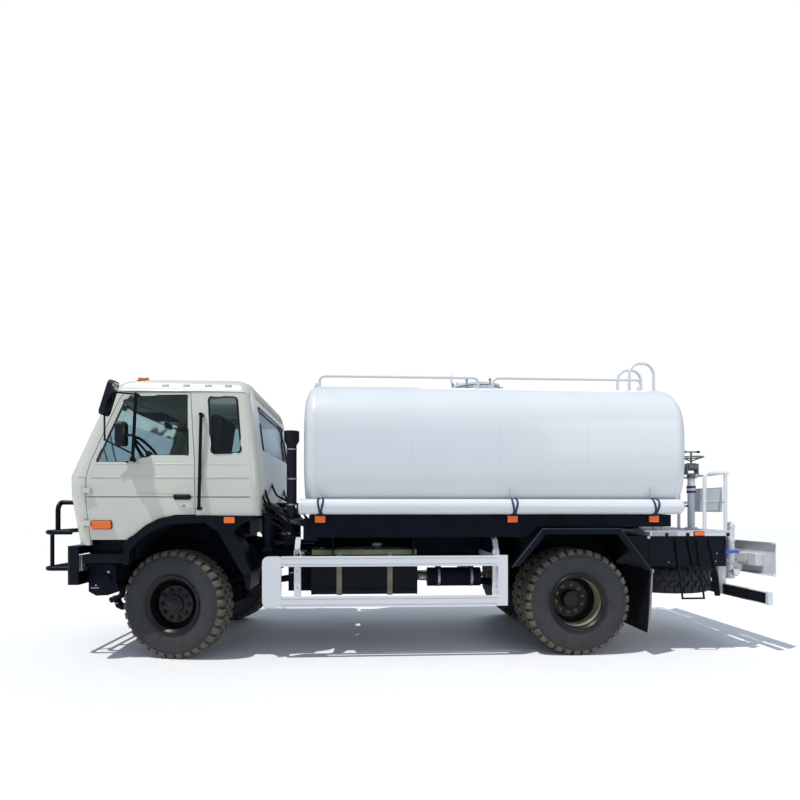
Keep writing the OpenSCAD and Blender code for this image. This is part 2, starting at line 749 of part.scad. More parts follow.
module front_bumper() painted(BLACK) {
    difference() {
        translate([0, 0, bumper_low]) linear_extrude(bumper_high - bumper_low) polygon(bumper_outline(0));
        translate([0, 0, bumper_low + bumper_t])
            linear_extrude(bumper_high - bumper_low - 2 * bumper_t) difference() {
                polygon(bumper_outline(bumper_t));
                for (s = [-1, 1])
                    translate([frame_front - 1, s > 0 ? rail_in : -rail_out]) square([11, rail_flange]);
            }
        both_sides() block([bumper_front - 60, lamp_y - lamp_w / 2, lamp_z - lamp_h / 2],
                           [bumper_front + 100, lamp_y + lamp_w / 2, lamp_z + lamp_h / 2]);
    }
}

// Bull bar: a wide hoop with bent-back ends and a raised loop at each side of the grille
module bull_bar() painted(BLACK) {
    low = 880;
    mid = 1236;
    high = 1535;
    end_y = 960;
    top_y = 740;
    foot = bumper_front + 40;
    lift = bull_d / 2;
    pipe([[foot, -end_y, low], [bull_x, -end_y, low], [bull_x, end_y, low], [foot, end_y, low]], bull_d, 70);
    pipe([[foot + 20, -end_y, mid], [bull_x, -end_y, mid], [bull_x, end_y, mid], [foot + 20, end_y, mid]],
         bull_d, 70);
    pipe([[bull_x, -top_y, mid + lift - 4], [bull_x, -top_y, high], [bull_x, top_y, high],
          [bull_x, top_y, mid + lift - 4]], bull_d, 90);
    both_sides() {
        rod([bull_x, end_y - 120, low + lift - 4], [bull_x, end_y - 120, mid - lift + 4], bull_d - 8);
        jointed([[bull_x - 8, top_y - 60, high - 6], [foot + 90, top_y - 60, high - 6],
                 [foot + 30, top_y - 60, mid - 40], [foot + 30, top_y - 60, bumper_high + 4]], bull_d - 6);
        block([foot - 20, top_y - 100, bumper_high], [foot + 60, top_y - 20, bumper_high + 10]);
    }
}

marker_xs = [tank_front - 190, (tank_front + tank_rear) / 2 - 150, tank_rear + 350];
rear_lamp_y = 830;

// Head lamps, amber side markers and rear lamp boxes
module lamps() painted(AMBER) both_sides() {
    block([bumper_front - 60 + seat, lamp_y - lamp_w / 2 + seat, lamp_z - lamp_h / 2 + seat],
          [bumper_front + 20, lamp_y + lamp_w / 2 - seat, lamp_z + lamp_h / 2 - seat]);
    for (x = marker_xs)
        block([x - 52, skirt_y + 8, 1331], [x + 52, skirt_y + 26, 1398]);
    block([deck_front - 560, deck_w / 2, deck_top - 50], [deck_front - 460, deck_w / 2 + 18, deck_top - 10]);
    block([-580, flare_out, 1330], [-482, flare_out + 12, 1386]);
    block([rear_end + beam_t, rear_lamp_y - 150, 870], [rear_end + beam_t + 92, rear_lamp_y + 150, 1000]);
}

intake_x = -1000;
filter_y = 620;

// Air filter on the frame with the intake pipe that stands behind the cab
module air_intake() painted(BLACK) {
    pipe_x = intake_x - 75;
    translate([intake_x, filter_y, frame_top + 60]) cylinder(h = 380, r = 130);
    block([intake_x - 50, rail_in, frame_top], [intake_x + 50, filter_y + 60, frame_top + 60]);
    rod([pipe_x, filter_y + 60, 1420], [pipe_x, 900, 1420], 90);
    translate([pipe_x, 900, 1420]) sphere(d = 100);
    rod([pipe_x, 900, 1420], [pipe_x, 900, 2110], 100);
    translate([pipe_x, 900, 2110]) cylinder(h = 45, r1 = 50, r2 = 76);
    translate([pipe_x, 900, 2155]) cylinder(h = 98, r = 76);
}

module fuel_tank() painted(BLACK) {
    front = -1279;
    across(front - fuel_l, front) polygon(rounded(box2(rail_out + 24, 595, 950, 1050), 60));
    for (x = [front - 260, front - fuel_l + 260])
        block([x - 40, rail_out, 860], [x + 40, rail_out + 24.5, 1040]);
}

// Battery box and air tanks on the right, silencer on the left
module service_boxes() painted(BLACK) {
    block([-1800, -950, 640], [-1250, -rail_out - 20, 1000]);
    for (x = [-1700, -1400])
        block([x - 30, -rail_out - 20, 880], [x + 30, -rail_out, 980]);
    for (y = [-870, -610])
        rod([-2950, y, 840], [-2050, y, 840], 220);
    for (x = [-2800, -2200])
        block([x - 30, -900, 945], [x + 30, -rail_out, 965]);
    rod([-3050, 640, 740], [-2480, 640, 740], 200);
    for (x = [-2950, -2600])
        block([x - 25, rail_out, 835], [x + 25, 680, 860]);
}

module side_guards() painted(WHITE) both_sides() {
    front = -831;
    rear = rear_x + 725;
    inner = guard_y - 36;
    slab(inner, guard_y) polygon(rounded(box2(front - 180, 513, front, 1006), [30, 60, 60, 30]));
    block([rear, inner, 513], [rear + 95, guard_y, 1010]);
    for (z = [513, 906])
        block([rear + 95, inner, z], [front - 180, guard_y, z + 100]);
    for (x = [-1163, rear + 110]) {
        block([x - 32, inner - 40, 513], [x + 32, inner, 1060]);
        block([x - 32, rail_out, 960], [x + 32, inner - 40, 1020]);
    }
}

// ---------------------------------------------------------------- tank

// The tank's section in y and z about its own middle, grown by g
function tank_section(g = 0) =
    [for (i = [0:71]) let(a = i * 5, c = cos(a), s = sin(a), e = 2 / tank_square)
        [sign(c) * pow(abs(c), e) * (tank_w / 2 + g), sign(s) * pow(abs(s), e) * (tank_h / 2 + g)]];

// Distance in from the end and size of the section, for the tank's dished ends
tank_dish = [[0, 0.45], [8, 0.72], [28, 0.88], [60, 0.955], [100, 0.988], [150, 1]];

module tank() painted(WHITE) {
    section = tank_section();
    sides = len(section);
    stations = concat([for (d = tank_dish) [tank_front - d[0], d[1]]],
                      [for (i = [len(tank_dish) - 1:-1:0]) [tank_rear + tank_dish[i][0], tank_dish[i][1]]]);
    last = len(stations) - 1;
    polyhedron(
        points = [for (s = stations) for (p = section) [s[0], p[0] * s[1], tank_mid_z + p[1] * s[1]]],
        faces = concat(
            [[for (i = [sides - 1:-1:0]) i]],
            [[for (i = [0:sides - 1]) last * sides + i]],
            [for (k = [0:last - 1]) for (i = [0:sides - 1])
                [k * sides + i, k * sides + (i + 1) % sides, (k + 1) * sides + (i + 1) % sides,
                 (k + 1) * sides + i]]));
}

skirt_y = 1080;
skirt_low = 1184;
fender_gap_z = 1286;
skirt_high = 1408;

// Beams on the frame rails, bearers under the tank and the side skirts
module tank_subframe() painted(BLACK) {
    both_sides() block([deck_rear, rail_in, frame_top], [tank_front - 60, rail_out, deck_top - deck_t]);
    difference() {
        for (x = [tank_front - 200, tank_front - 1050, (tank_front + tank_rear) / 2, tank_rear + 1050, tank_rear + 200])
            across(x - 35, x + 35)
                let(foot = x < deck_front ? deck_top : deck_top - deck_t)
                polygon([[-rail_out, foot], [rail_out, foot], [rail_out, fender_gap_z],
                         [skirt_y, fender_gap_z], [skirt_y, skirt_high], [-skirt_y, skirt_high],
                         [-skirt_y, fender_gap_z], [-rail_out, fender_gap_z]]);
        translate([0, 0, tank_mid_z]) across(tank_rear, tank_front) polygon(tank_section(seat));
    }
    both_sides() {
        slab(skirt_y, skirt_y + 8)
            polygon([[tank_front - 165, skirt_low], [tank_front - 165, skirt_high], [tank_rear + 165, skirt_high],
                     [tank_rear + 165, fender_gap_z], [rear_x + 400, fender_gap_z], [rear_x + 482, skirt_low]]);
        for (x = marker_xs)
            block([x - 30, skirt_y, tube_z - hose_tube_d / 2 - 14],
                  [x + 30, tube_y + 30, tube_z - hose_tube_d / 2 - seat]);
    }
}

tube_z = 1488;
tube_y = 1160;

module hose_tubes() painted(WHITE) both_sides() {
    rod([tank_rear + 120, tube_y, tube_z], [tank_front, tube_y, tube_z], hose_tube_d);
    translate([tank_rear + 120, tube_y, tube_z]) rotate([0, -90, 0]) cylinder(h = 34, d1 = hose_tube_d, d2 = 96);
}

rail_y = 520;
rail_d = 28;

// Height of the tank's roof at y, on the straight facets of its section
function tank_roof_z(y) = tank_mid_z + lookup(y, [for (p = tank_section()) if (p[1] > 1 && p[0] > -1) p]);

module top_rails() painted(WHITE) both_sides() {
    base = tank_roof_z(rail_y - rail_d / 2) + seat;
    top = base + 125;
    middle = (tank_front + tank_rear) / 2;
    for (ends = [[tank_front - 130, middle + 80], [middle - 80, tank_rear + 190]])
        pipe([[ends[0], rail_y, base], [ends[0], rail_y, top], [ends[1], rail_y, top], [ends[1], rail_y, base]],
             rail_d, 60);
}

hatch_x = (tank_front + tank_rear) / 2;
hatch_z = tank_mid_z + tank_h / 2;

lid_z = hatch_z + seat + hatch_h + 1;
lid_t = 26;
pivot = hatch_d / 2 + 32;
pivot_r = 8;

// Manhole ring with the two ears that carry the lid's hinge pin
module hatch_ring() painted(WHITE) translate([hatch_x, 0, hatch_z + seat]) {
    difference() {
        cylinder(h = hatch_h, d = hatch_d);
        translate([0, 0, 14]) cylinder(h = hatch_h, d = hatch_d - 24);
    }
    difference() {
        for (s = [-1, 1])
            translate([0, s * 40, 0]) slab(-6, 6)
                polygon([[-hatch_d / 2 + 6, hatch_h - 50], [-hatch_d / 2 + 6, hatch_h - 4],
                         [-pivot + 14, hatch_h - 4], [-pivot + 14, hatch_h + 26], [-pivot - 14, hatch_h + 26],
                         [-pivot - 14, hatch_h - 20]]);
        translate([-pivot, -60, hatch_h + 1 + lid_t / 2]) rotate([-90, 0, 0]) cylinder(h = 120, r = pivot_r + 0.3);
    }
}

// Lid with its tongue, hinge pin and hand grip
module hatch_lid() painted(WHITE) translate([hatch_x, 0, lid_z]) {
    difference() {
        cylinder(h = lid_t, d = hatch_d + 30);
        for (s = [-1, 1])
            block([-pivot - 10, s * 40 - 14, -1], [-hatch_d / 2 + 16, s * 40 + 14, lid_t + 1]);
    }
    block([-pivot - 13, -24, 0], [-hatch_d / 2 + 20, 24, lid_t]);
    translate([-pivot, -52, lid_t / 2]) rotate([-90, 0, 0]) cylinder(h = 104, r = pivot_r);
    pipe([[hatch_d / 2 - 40, -60, lid_t - 1], [hatch_d / 2 - 40, -60, lid_t + 50],
          [hatch_d / 2 - 40, 60, lid_t + 50], [hatch_d / 2 - 40, 60, lid_t - 1]], 16, 24);
}

ladder_x = tank_rear - 60;
ladder_ys = [20, 320];
rung_gap = 280;

module tank_ladder() painted(WHITE) {
    top = hatch_z + 350;
    for (y = ladder_ys)
        pipe([[ladder_x, y, deck_top], [ladder_x, y, top], [tank_rear + 230, y, top],
              [tank_rear + 230, y, tank_roof_z(y - 16) + seat]], 32, 130);
    for (z = [deck_top + rung_gap:rung_gap:hatch_z])
        rod([ladder_x, ladder_ys[0], z], [ladder_x, ladder_ys[1], z], 26);
}

fender_in = rail_out + seat;
fender_out = 1200;

step_y = deck_w / 2 - 20;

// A U-shaped step hung outside the side panel, from its top down to z
module step_loop(x, z, lean) {
    y = step_y + 10 + seat;
    jointed([[x, y, 1150], [x - lean, y, z], [x - lean - 225, y, z], [x - 225, y, 1150]], 20);
}

// Fenders over the rear wheels, then the panels and steps below the deck's edges
module rear_fenders() painted(BLACK) {
    translate([rear_x, 0, 0]) both_sides() fender();
    both_sides() {
        block([deck_rear + 30, step_y - 20, 880], [deck_front, step_y, deck_top - deck_t]);
        step_loop(deck_front - 270, 555, 75);
        step_loop(deck_front - 400, 850, 60);
    }
}

module fender() {
    outer = [[688, 896], [384, 1275], [-396, 1275], [-717, 858]];
    t = 12;
    slab(fender_in, fender_out)
        polygon(concat(outer, [[-717 + 15, 858], [-390, 1275 - t], [378, 1275 - t], [688 - 15, 896]]));
    slab(fender_out - 10, fender_out)
        polygon(concat(outer, [[-717 + 68, 858], [-366, 1275 - 60], [354, 1275 - 60], [688 - 68, 896]]));
    slab(620, fender_out - 12) polygon([[-705, 862], [-697, 862], [-672, 235], [-680, 235]]);
}

// ---------------------------------------------------------------- platform

module rear_platform() painted(WHITE)
    block([deck_rear, -deck_w / 2, deck_top - deck_t], [deck_front, deck_w / 2, deck_top]);

post_y = deck_w / 2 - 50;
post_front = deck_rear + 240;
post_rear = deck_rear + 18;
gate_y = 200;
module platform_rails() painted(WHITE) {
    top = deck_top + handrail_h;
    both_sides() {
        pipe([[post_front, post_y, deck_top], [post_front, post_y, top], [post_rear - 24, post_y, top]],
             handrail_d, 60);
        for (y = [gate_y, post_y])
            rod([post_rear, y, deck_top], [post_rear, y, top], handrail_d);
        for (z = [top, deck_top + handrail_h / 2])
            rod([post_rear, gate_y, z], [post_rear, post_y, z], handrail_d - 4);
        block([post_rear + 6, 500, 1450], [post_rear + 12, 1000, 1680]);
    }
}

cannon_x = deck_rear + 140;
cannon_y = 650;
riser_top = deck_top + 554;
spray_x = deck_rear - 70;
spray_y = 1000;
outlet_r = 32;
outlet_l = 70;

// Riser for the cannon, and an upright spray pipe with a hose stub at each rear corner
module water_pipes() painted(WHITE) {
    translate([cannon_x, cannon_y, deck_top]) cylinder(h = riser_top - deck_top, d = riser_d);
    translate([cannon_x, cannon_y, deck_top + 392]) cylinder(h = 88, d = riser_d + 16);
    both_sides() {
        rod([spray_x, spray_y, 745], [spray_x, spray_y, 1300], 74);
        rod([spray_x, spray_y, 820], [spray_x, spray_y + 36 + outlet_l, 820], 2 * outlet_r);
        block([spray_x, spray_y - 30, deck_top - deck_t], [deck_rear, spray_y + 30, deck_top]);
    }
}

head_z = riser_top + 130;
trunnion_r = 18;
cheek_in = 52;
cheek_out = 66;

// Swivelling fork on the riser
module cannon_head() painted(WHITE) translate([cannon_x, cannon_y, 0]) {
    translate([0, 0, riser_top + 0.5]) cylinder(h = 50, d = riser_d + 12);
    block([-cheek_out, -40, riser_top + 44], [cheek_out, 40, riser_top + 58]);
    difference() {
        for (s = [-1, 1])
            block([s > 0 ? cheek_in : -cheek_out, -34, riser_top + 50],
                  [s > 0 ? cheek_out : -cheek_in, 34, head_z + 34]);
        rod([-90, 0, head_z], [90, 0, head_z], 2 * (trunnion_r + 0.3));
    }
}

grip_r = 120;

// Barrel on its trunnions, with the hand ring and the bar above it
module cannon_barrel() painted(WHITE) translate([cannon_x, cannon_y, head_z]) {
    rod([-cheek_in + 5, 0, 0], [cheek_in - 5, 0, 0], 84);
    rod([-cheek_out, 0, 0], [cheek_out, 0, 0], 2 * trunnion_r);
    rod([0, 0, 0], [0, -barrel_l + 110, 0], 66);
    translate([0, -barrel_l + 110, 0]) rotate([90, 0, 0]) cylinder(h = 110, d1 = 66, d2 = 44);
    rod([0, 0, 0], [0, 0, 165], 20);
    rod([-85, 0, 165], [85, 0, 165], 16);
    for (s = [-1, 1])
        rod([s * 10, 0, 66], [s * grip_r, 0, 105], 14);
    translate([0, 0, 105]) rotate_extrude() translate([grip_r, 0]) circle(d = 16);
}

spare_x = deck_rear + 370;
spare_y = 380;
spare_z = rail_bottom - 5 - tyre_w / 2;

// Spare wheel lying under the deck, hung from a crossmember
module spare_wheel() painted(RUBBER) {
    translate([spare_x, spare_y, spare_z]) {
        tyre();
        rim_ring();
        wheel_disc(0, 0);
        cylinder(h = 14, r = bolt_circle / 2 - 50, center = true);
    }
    translate([spare_x, spare_y - 50, spare_z]) cylinder(h = rail_bottom + 30 - spare_z, r = 20);
}

beam_t = 8;

// Channel beam across the frame's ends with the underrun bar below it
module rear_bumper() painted(WHITE) {
    slab(-1150, 1150) polygon([[rear_end, 781], [frame_rear, 781], [frame_rear, 781 + beam_t],
                               [rear_end + beam_t, 781 + beam_t], [rear_end + beam_t, 1126 - beam_t],
                               [frame_rear, 1126 - beam_t], [frame_rear, 1126], [rear_end, 1126]]);
    both_sides() block([rear_end, rail_in, 782], [frame_rear, rail_out, 1125]);
    difference() {
        block([frame_rear - 10, -1150, 490], [frame_rear + 38, 1150, 615]);
        block([frame_rear - 2, -1110, 498], [frame_rear + 39, 1110, 607]);
    }
    both_sides() block([frame_rear - 5, rail_in, 495], [frame_rear + 90, rail_out, rail_bottom]);
}

// ---------------------------------------------------------------- nodes

chassis_frame();
leaf_springs();
front_axle();
knuckle_left();
knuckle_right();
tie_rod();
front_tyre_left();
front_tyre_right();
front_rim_left();
front_rim_right();
rear_axle();
rear_tyres_left();
rear_tyres_right();
rear_rims_left();
rear_rims_right();
powertrain();
cab_floor();
cab_front_panel();
cab_roof();
cab_back_panel();
cab_sides();
door_left();
door_right();
door_glass_left();
door_glass_right();
cab_glass();
seats();
dashboard();
grab_handles();
wheel_arches();
cab_steps();
mirrors_left();
mirrors_right();
front_bumper();
bull_bar();
lamps();
air_intake();
fuel_tank();
service_boxes();
side_guards();
tank();
tank_subframe();
hose_tubes();
top_rails();
hatch_ring();
hatch_lid();
tank_ladder();
rear_fenders();
rear_platform();
platform_rails();
water_pipes();
cannon_head();
cannon_barrel();
spare_wheel();
rear_bumper();
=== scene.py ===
"""Looks of the off-road water tanker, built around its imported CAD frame.

Lengths in the tables are millimetres, with x measured forwards from the front
axle, y to the truck's left and z up from the ground, as in the CAD source.
"""
import math

import bmesh
import bpy
from mathutils import Matrix, Vector
from mathutils.bvhtree import BVHTree


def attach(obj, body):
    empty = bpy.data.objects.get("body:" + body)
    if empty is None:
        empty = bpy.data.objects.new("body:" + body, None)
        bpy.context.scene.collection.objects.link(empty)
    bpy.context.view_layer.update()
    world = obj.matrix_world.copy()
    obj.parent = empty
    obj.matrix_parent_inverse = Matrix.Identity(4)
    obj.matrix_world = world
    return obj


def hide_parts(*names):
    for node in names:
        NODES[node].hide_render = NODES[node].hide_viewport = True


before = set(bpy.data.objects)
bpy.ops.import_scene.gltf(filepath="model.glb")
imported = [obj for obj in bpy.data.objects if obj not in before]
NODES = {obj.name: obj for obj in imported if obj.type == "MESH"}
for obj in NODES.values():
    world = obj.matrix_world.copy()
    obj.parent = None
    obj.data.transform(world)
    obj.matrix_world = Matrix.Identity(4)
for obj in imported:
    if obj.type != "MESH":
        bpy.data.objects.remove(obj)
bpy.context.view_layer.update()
MM = 0.001
AXLE_X = 2328.5  # the front axle's x in the row frame
HUB_Z = 530
STEER = math.radians(-12)
REAR_X = -3950
SHARP = math.radians(40)  # the angle from which an edge is drawn sharp
GROOVE_Z, CREASE_Z, SILL_Z = 1579, 1769, 1893  # the pressed lines round the cab
TANK_Z = 2045
HATCH_X = -3140
TUBE_Y, TUBE_Z = 1160, 1488  # the hose tubes' centre line
SPARE_X, SPARE_Y = -5170, 380
NUT_CIRCLE = 143
STRAP_X = (-1558, -2069)  # the fuel tank's straps
GUARD_X = (-1163, -3115)  # the side guards' arms


def place(p):
    """A point in millimetres from the front axle, in the row frame in metres."""
    return Vector(((p[0] + AXLE_X) * MM, p[1] * MM, p[2] * MM))


# ------------------------------------------------------------ materials


def material(name, base, rough=0.5, metal=0.0, coat=0.0, shine=0.5, vary=0.15, scale=6.0, bump=0.0,
             bump_scale=60.0, dust=0.0, dust_top=1.2, dust_color=(0.20, 0.17, 0.13), glow=None):
    """A painted, plastic or rubber surface with patchy tone, fine bump and dust low down."""
    mat = bpy.data.materials.new(name)
    mat.use_nodes = True
    nt = mat.node_tree
    bsdf = nt.nodes["Principled BSDF"]
    bsdf.inputs["Metallic"].default_value = metal
    bsdf.inputs["Coat Weight"].default_value = coat
    bsdf.inputs["Specular IOR Level"].default_value = shine
    bsdf.inputs["Coat Roughness"].default_value = 0.08
    coords = nt.nodes.new("ShaderNodeTexCoord")
    patches = nt.nodes.new("ShaderNodeTexNoise")
    patches.inputs["Scale"].default_value = scale
    patches.inputs["Detail"].default_value = 6.0
    nt.links.new(coords.outputs["Object"], patches.inputs["Vector"])
    tone = nt.nodes.new("ShaderNodeMapRange")
    tone.inputs["From Min"].default_value = 0.3
    tone.inputs["From Max"].default_value = 0.7
    nt.links.new(patches.outputs["Fac"], tone.inputs["Value"])
    mix = nt.nodes.new("ShaderNodeMix")
    mix.data_type = "RGBA"
    mix.inputs["A"].default_value = tuple(c * (1 - vary) for c in base) + (1,)
    mix.inputs["B"].default_value = tuple(min(1, c * (1 + vary * 0.6)) for c in base) + (1,)
    nt.links.new(tone.outputs["Result"], mix.inputs["Factor"])
    color = mix.outputs["Result"]
    if dust:
        split = nt.nodes.new("ShaderNodeSeparateXYZ")
        nt.links.new(coords.outputs["Object"], split.inputs["Vector"])
        low = nt.nodes.new("ShaderNodeMapRange")
        low.inputs["From Min"].default_value = 0.25
        low.inputs["From Max"].default_value = dust_top
        low.inputs["To Min"].default_value = dust
        low.inputs["To Max"].default_value = dust * 0.08
        nt.links.new(split.outputs["Z"], low.inputs["Value"])
        grain = nt.nodes.new("ShaderNodeTexNoise")
        grain.inputs["Scale"].default_value = 14.0
        grain.inputs["Detail"].default_value = 8.0
        nt.links.new(coords.outputs["Object"], grain.inputs["Vector"])
        amount = nt.nodes.new("ShaderNodeMath")
        amount.operation = "MULTIPLY"
        nt.links.new(low.outputs["Result"], amount.inputs[0])
        nt.links.new(grain.outputs["Fac"], amount.inputs[1])
        dirt = nt.nodes.new("ShaderNodeMix")
        dirt.data_type = "RGBA"
        dirt.inputs["B"].default_value = dust_color + (1,)
        nt.links.new(amount.outputs["Value"], dirt.inputs["Factor"])
        nt.links.new(color, dirt.inputs["A"])
        color = dirt.outputs["Result"]
    nt.links.new(color, bsdf.inputs["Base Color"])
    gloss = nt.nodes.new("ShaderNodeMapRange")
    gloss.inputs["To Min"].default_value = max(0.02, rough - 0.08)
    gloss.inputs["To Max"].default_value = min(1.0, rough + 0.10)
    nt.links.new(patches.outputs["Fac"], gloss.inputs["Value"])
    nt.links.new(gloss.outputs["Result"], bsdf.inputs["Roughness"])
    if bump:
        fine = nt.nodes.new("ShaderNodeTexNoise")
        fine.inputs["Scale"].default_value = bump_scale
        fine.inputs["Detail"].default_value = 4.0
        nt.links.new(coords.outputs["Object"], fine.inputs["Vector"])
        relief = nt.nodes.new("ShaderNodeBump")
        relief.inputs["Strength"].default_value = 1.0
        relief.inputs["Distance"].default_value = bump * MM
        nt.links.new(fine.outputs["Fac"], relief.inputs["Height"])
        nt.links.new(relief.outputs["Normal"], bsdf.inputs["Normal"])
    if glow:
        bsdf.inputs["Emission Color"].default_value = glow + (1,)
        bsdf.inputs["Emission Strength"].default_value = 0.12
    return mat


def glass(name, tint, rough=0.02, through=1.0):
    mat = material(name, tint, rough=rough, vary=0.04, scale=2.0)
    bsdf = mat.node_tree.nodes["Principled BSDF"]
    bsdf.inputs["Transmission Weight"].default_value = through
    bsdf.inputs["IOR"].default_value = 1.2
    return mat


CAB = material("cab_paint", (0.50, 0.505, 0.44), rough=0.32, coat=0.5, vary=0.04, scale=1.4, bump=0.05,
               bump_scale=9, dust=0.35, dust_top=1.5)
WHITE = material("white_paint", (0.56, 0.58, 0.60), rough=0.30, coat=0.4, vary=0.03, scale=1.2, bump=0.12,
                 bump_scale=3, dust=0.12, dust_top=1.3)
BLACK = material("black_paint", (0.002, 0.004, 0.008), rough=0.36, shine=0.10, vary=0.3, bump=0.06, dust=0.05)
CHASSIS = material("chassis_paint", (0.002, 0.004, 0.010), rough=0.5, shine=0.08, vary=0.4, bump=0.2,
                   dust=0.05)
PLASTIC = material("black_plastic", (0.005, 0.007, 0.011), rough=0.5, shine=0.18, vary=0.2, bump=0.25,
                   bump_scale=400, dust=0.05)
RUBBER = material("tyre_wall", (0.020, 0.023, 0.029), rough=0.6, shine=0.22, vary=0.18, scale=9, bump=0.15,
                  bump_scale=90, dust=0.16, dust_top=1.4)
TREAD = material("tyre_tread", (0.085, 0.074, 0.058), rough=0.85, shine=0.3, vary=0.45, scale=22, bump=0.5,
                 bump_scale=120, dust=0.4, dust_top=1.4)
RIM = material("rim_black", (0.004, 0.004, 0.005), rough=0.36, shine=0.25, vary=0.3, bump=0.1, dust=0.06)
OLIVE = material("olive_dust", (0.20, 0.19, 0.125), rough=0.75, vary=0.3, scale=8, bump=0.25)
STEEL = material("bare_steel", (0.34, 0.34, 0.33), rough=0.38, metal=0.9, vary=0.25, scale=20, bump=0.1)
SEAL = material("seal_rubber", (0.004, 0.004, 0.005), rough=0.55, shine=0.2, vary=0.2, bump=0.1)
AMBER = material("amber_lens", (0.62, 0.10, 0.003), rough=0.3, coat=0.1, vary=0.12, scale=40, bump=0.35,
                 bump_scale=130, glow=(1.0, 0.3, 0.02))
RED = material("red_lens", (0.55, 0.02, 0.015), rough=0.2, coat=0.8, vary=0.1, scale=40, bump=0.3,
               bump_scale=130)
CLEAR = material("lamp_glass", (0.75, 0.78, 0.80), rough=0.12, metal=0.35, coat=0.9, vary=0.15, scale=40,
                 bump=0.5, bump_scale=90)
BLUE = material("blue_strap", (0.006, 0.016, 0.060), rough=0.5, vary=0.25, bump=0.2, bump_scale=200)
VALVE = material("blue_valve", (0.006, 0.06, 0.33), rough=0.35, coat=0.3, vary=0.15)
GREY = material("grey_panel", (0.34, 0.36, 0.37), rough=0.45, vary=0.1, bump=0.1, dust=0.2)
# Lighter, glossier copy of the fender's black, used on the fender's rolled edge: a painted highlight along
# that edge
EDGE_HIGHLIGHT = material("fender_edge_highlight", (0.012, 0.022, 0.040), rough=0.4, shine=0.4, vary=0.2)
SPARE = material("spare_tread", (0.012, 0.014, 0.017), rough=0.6, shine=0.3, vary=0.3, bump=0.3,
                 bump_scale=120)
GUN = material("gun_metal", (0.10, 0.12, 0.13), rough=0.35, metal=0.6, vary=0.2, bump=0.1)
GOLD = material("tan_line", (0.50, 0.44, 0.28), rough=0.5, vary=0.2, scale=60)
FLAP = material("mud_flap", (0.22, 0.205, 0.18), rough=0.8, vary=0.3, scale=10, bump=0.5, bump_scale=40)
FABRIC = material("seat_fabric", (0.055, 0.055, 0.062), rough=0.9, vary=0.3, scale=90, bump=0.6,
                  bump_scale=500)
MIRROR = material("mirror_glass", (0.75, 0.78, 0.80), rough=0.03, metal=1.0, vary=0.02)
GLASS = glass("window_glass", (0.62, 0.72, 0.72))
BAND = glass("sun_band", (0.10, 0.62, 0.50), through=0.75)

# The material slot name for each material, where a piece names no other; put looks it up but gives no object
# a slot of that name
SLOTS = {RUBBER: "tyre_rubber", SPARE: "tyre_rubber", RIM: "chassis_black", CHASSIS: "chassis_black",
         SEAL: "black_plastic", CAB: "cab_paint", PLASTIC: "black_plastic", AMBER: "amber_lens",
         BLACK: "body_black", BAND: "window_glass", FABRIC: "seat_fabric", STEEL: "tank_white",
         GREY: "tank_white", GUN: "chassis_black", WHITE: "tank_white", BLUE: "body_black",
         OLIVE: "body_black", VALVE: "tank_white", TREAD: "tyre_rubber", GOLD: "cab_paint",
         MIRROR: "black_plastic", CLEAR: "amber_lens", EDGE_HIGHLIGHT: "fender_black", FLAP: "fender_black"}

CAD_LOOKS = {"chassis_frame": CHASSIS, "leaf_springs": CHASSIS, "front_axle": CHASSIS,
             "knuckle_left": CHASSIS, "knuckle_right": CHASSIS, "tie_rod": CHASSIS, "rear_axle": CHASSIS,
             "powertrain": CHASSIS, "cab_floor": CHASSIS, "cab_front_panel": CAB, "cab_roof": CAB,
             "cab_back_panel": CAB, "cab_sides": CAB, "door_left": CAB, "door_right": CAB,
             "door_glass_left": GLASS, "door_glass_right": GLASS, "cab_glass": GLASS, "seats": FABRIC,
             "dashboard": PLASTIC, "grab_handles": BLACK, "wheel_arches": BLACK, "cab_steps": BLACK,
             "mirrors_left": PLASTIC, "mirrors_right": PLASTIC, "front_bumper": BLACK, "bull_bar": BLACK,
             "lamps": AMBER, "air_intake": PLASTIC, "fuel_tank": BLACK, "service_boxes": CHASSIS,
             "side_guards": WHITE, "tank": WHITE, "tank_subframe": CHASSIS, "hose_tubes": WHITE,
             "top_rails": WHITE, "hatch_ring": WHITE, "hatch_lid": WHITE, "tank_ladder": WHITE,
             "rear_fenders": BLACK, "rear_platform": WHITE, "platform_rails": WHITE, "water_pipes": WHITE,
             "cannon_head": GUN, "cannon_barrel": GUN, "rear_bumper": WHITE,}
SOFT_EDGE = {"cab_front_panel": 5, "cab_roof": 5, "cab_back_panel": 5, "cab_sides": 5, "door_left": 4,
             "door_right": 4, "dashboard": 8, "seats": 14, "fuel_tank": 6, "front_bumper": 5, "tank": 0,
             "door_glass_left": 0, "door_glass_right": 0, "cab_glass": 0}


def dress(node, mat, edge):
    """Gives a CAD node its material, small rounded edges and even shading."""
    obj = NODES[node]
    obj.data.materials.clear()
    obj.data.materials.append(mat)
    obj.data.polygons.foreach_set("use_smooth", [True] * len(obj.data.polygons))
    weld = obj.modifiers.new("weld", "WELD")
    weld.merge_threshold = 0.05 * MM
    if edge:
        bevel = obj.modifiers.new("edge", "BEVEL")
        bevel.width = edge * MM
        bevel.segments = 2
        bevel.limit_method = "ANGLE"
        bevel.angle_limit = math.radians(38)
        bevel.use_clamp_overlap = True
    shade = obj.modifiers.new("shade", "WEIGHTED_NORMAL")
    shade.keep_sharp = True


for node_name, look in CAD_LOOKS.items():
    dress(node_name, look, SOFT_EDGE.get(node_name, 2))


# ------------------------------------------------------------ shape helpers


class Shape:
    """Points and faces in millimetres."""

    def __init__(self, verts=(), faces=()):
        self.verts = [Vector(v) for v in verts]
        self.faces = [list(f) for f in faces]

    def add(self, other):
        base = len(self.verts)
        self.verts += other.verts
        self.faces += [[base + i for i in f] for f in other.faces]
        return self

    def moved(self, matrix):
        flip = matrix.to_3x3().determinant() < 0
        return Shape([matrix @ v for v in self.verts], [f[::-1] if flip else f for f in self.faces])


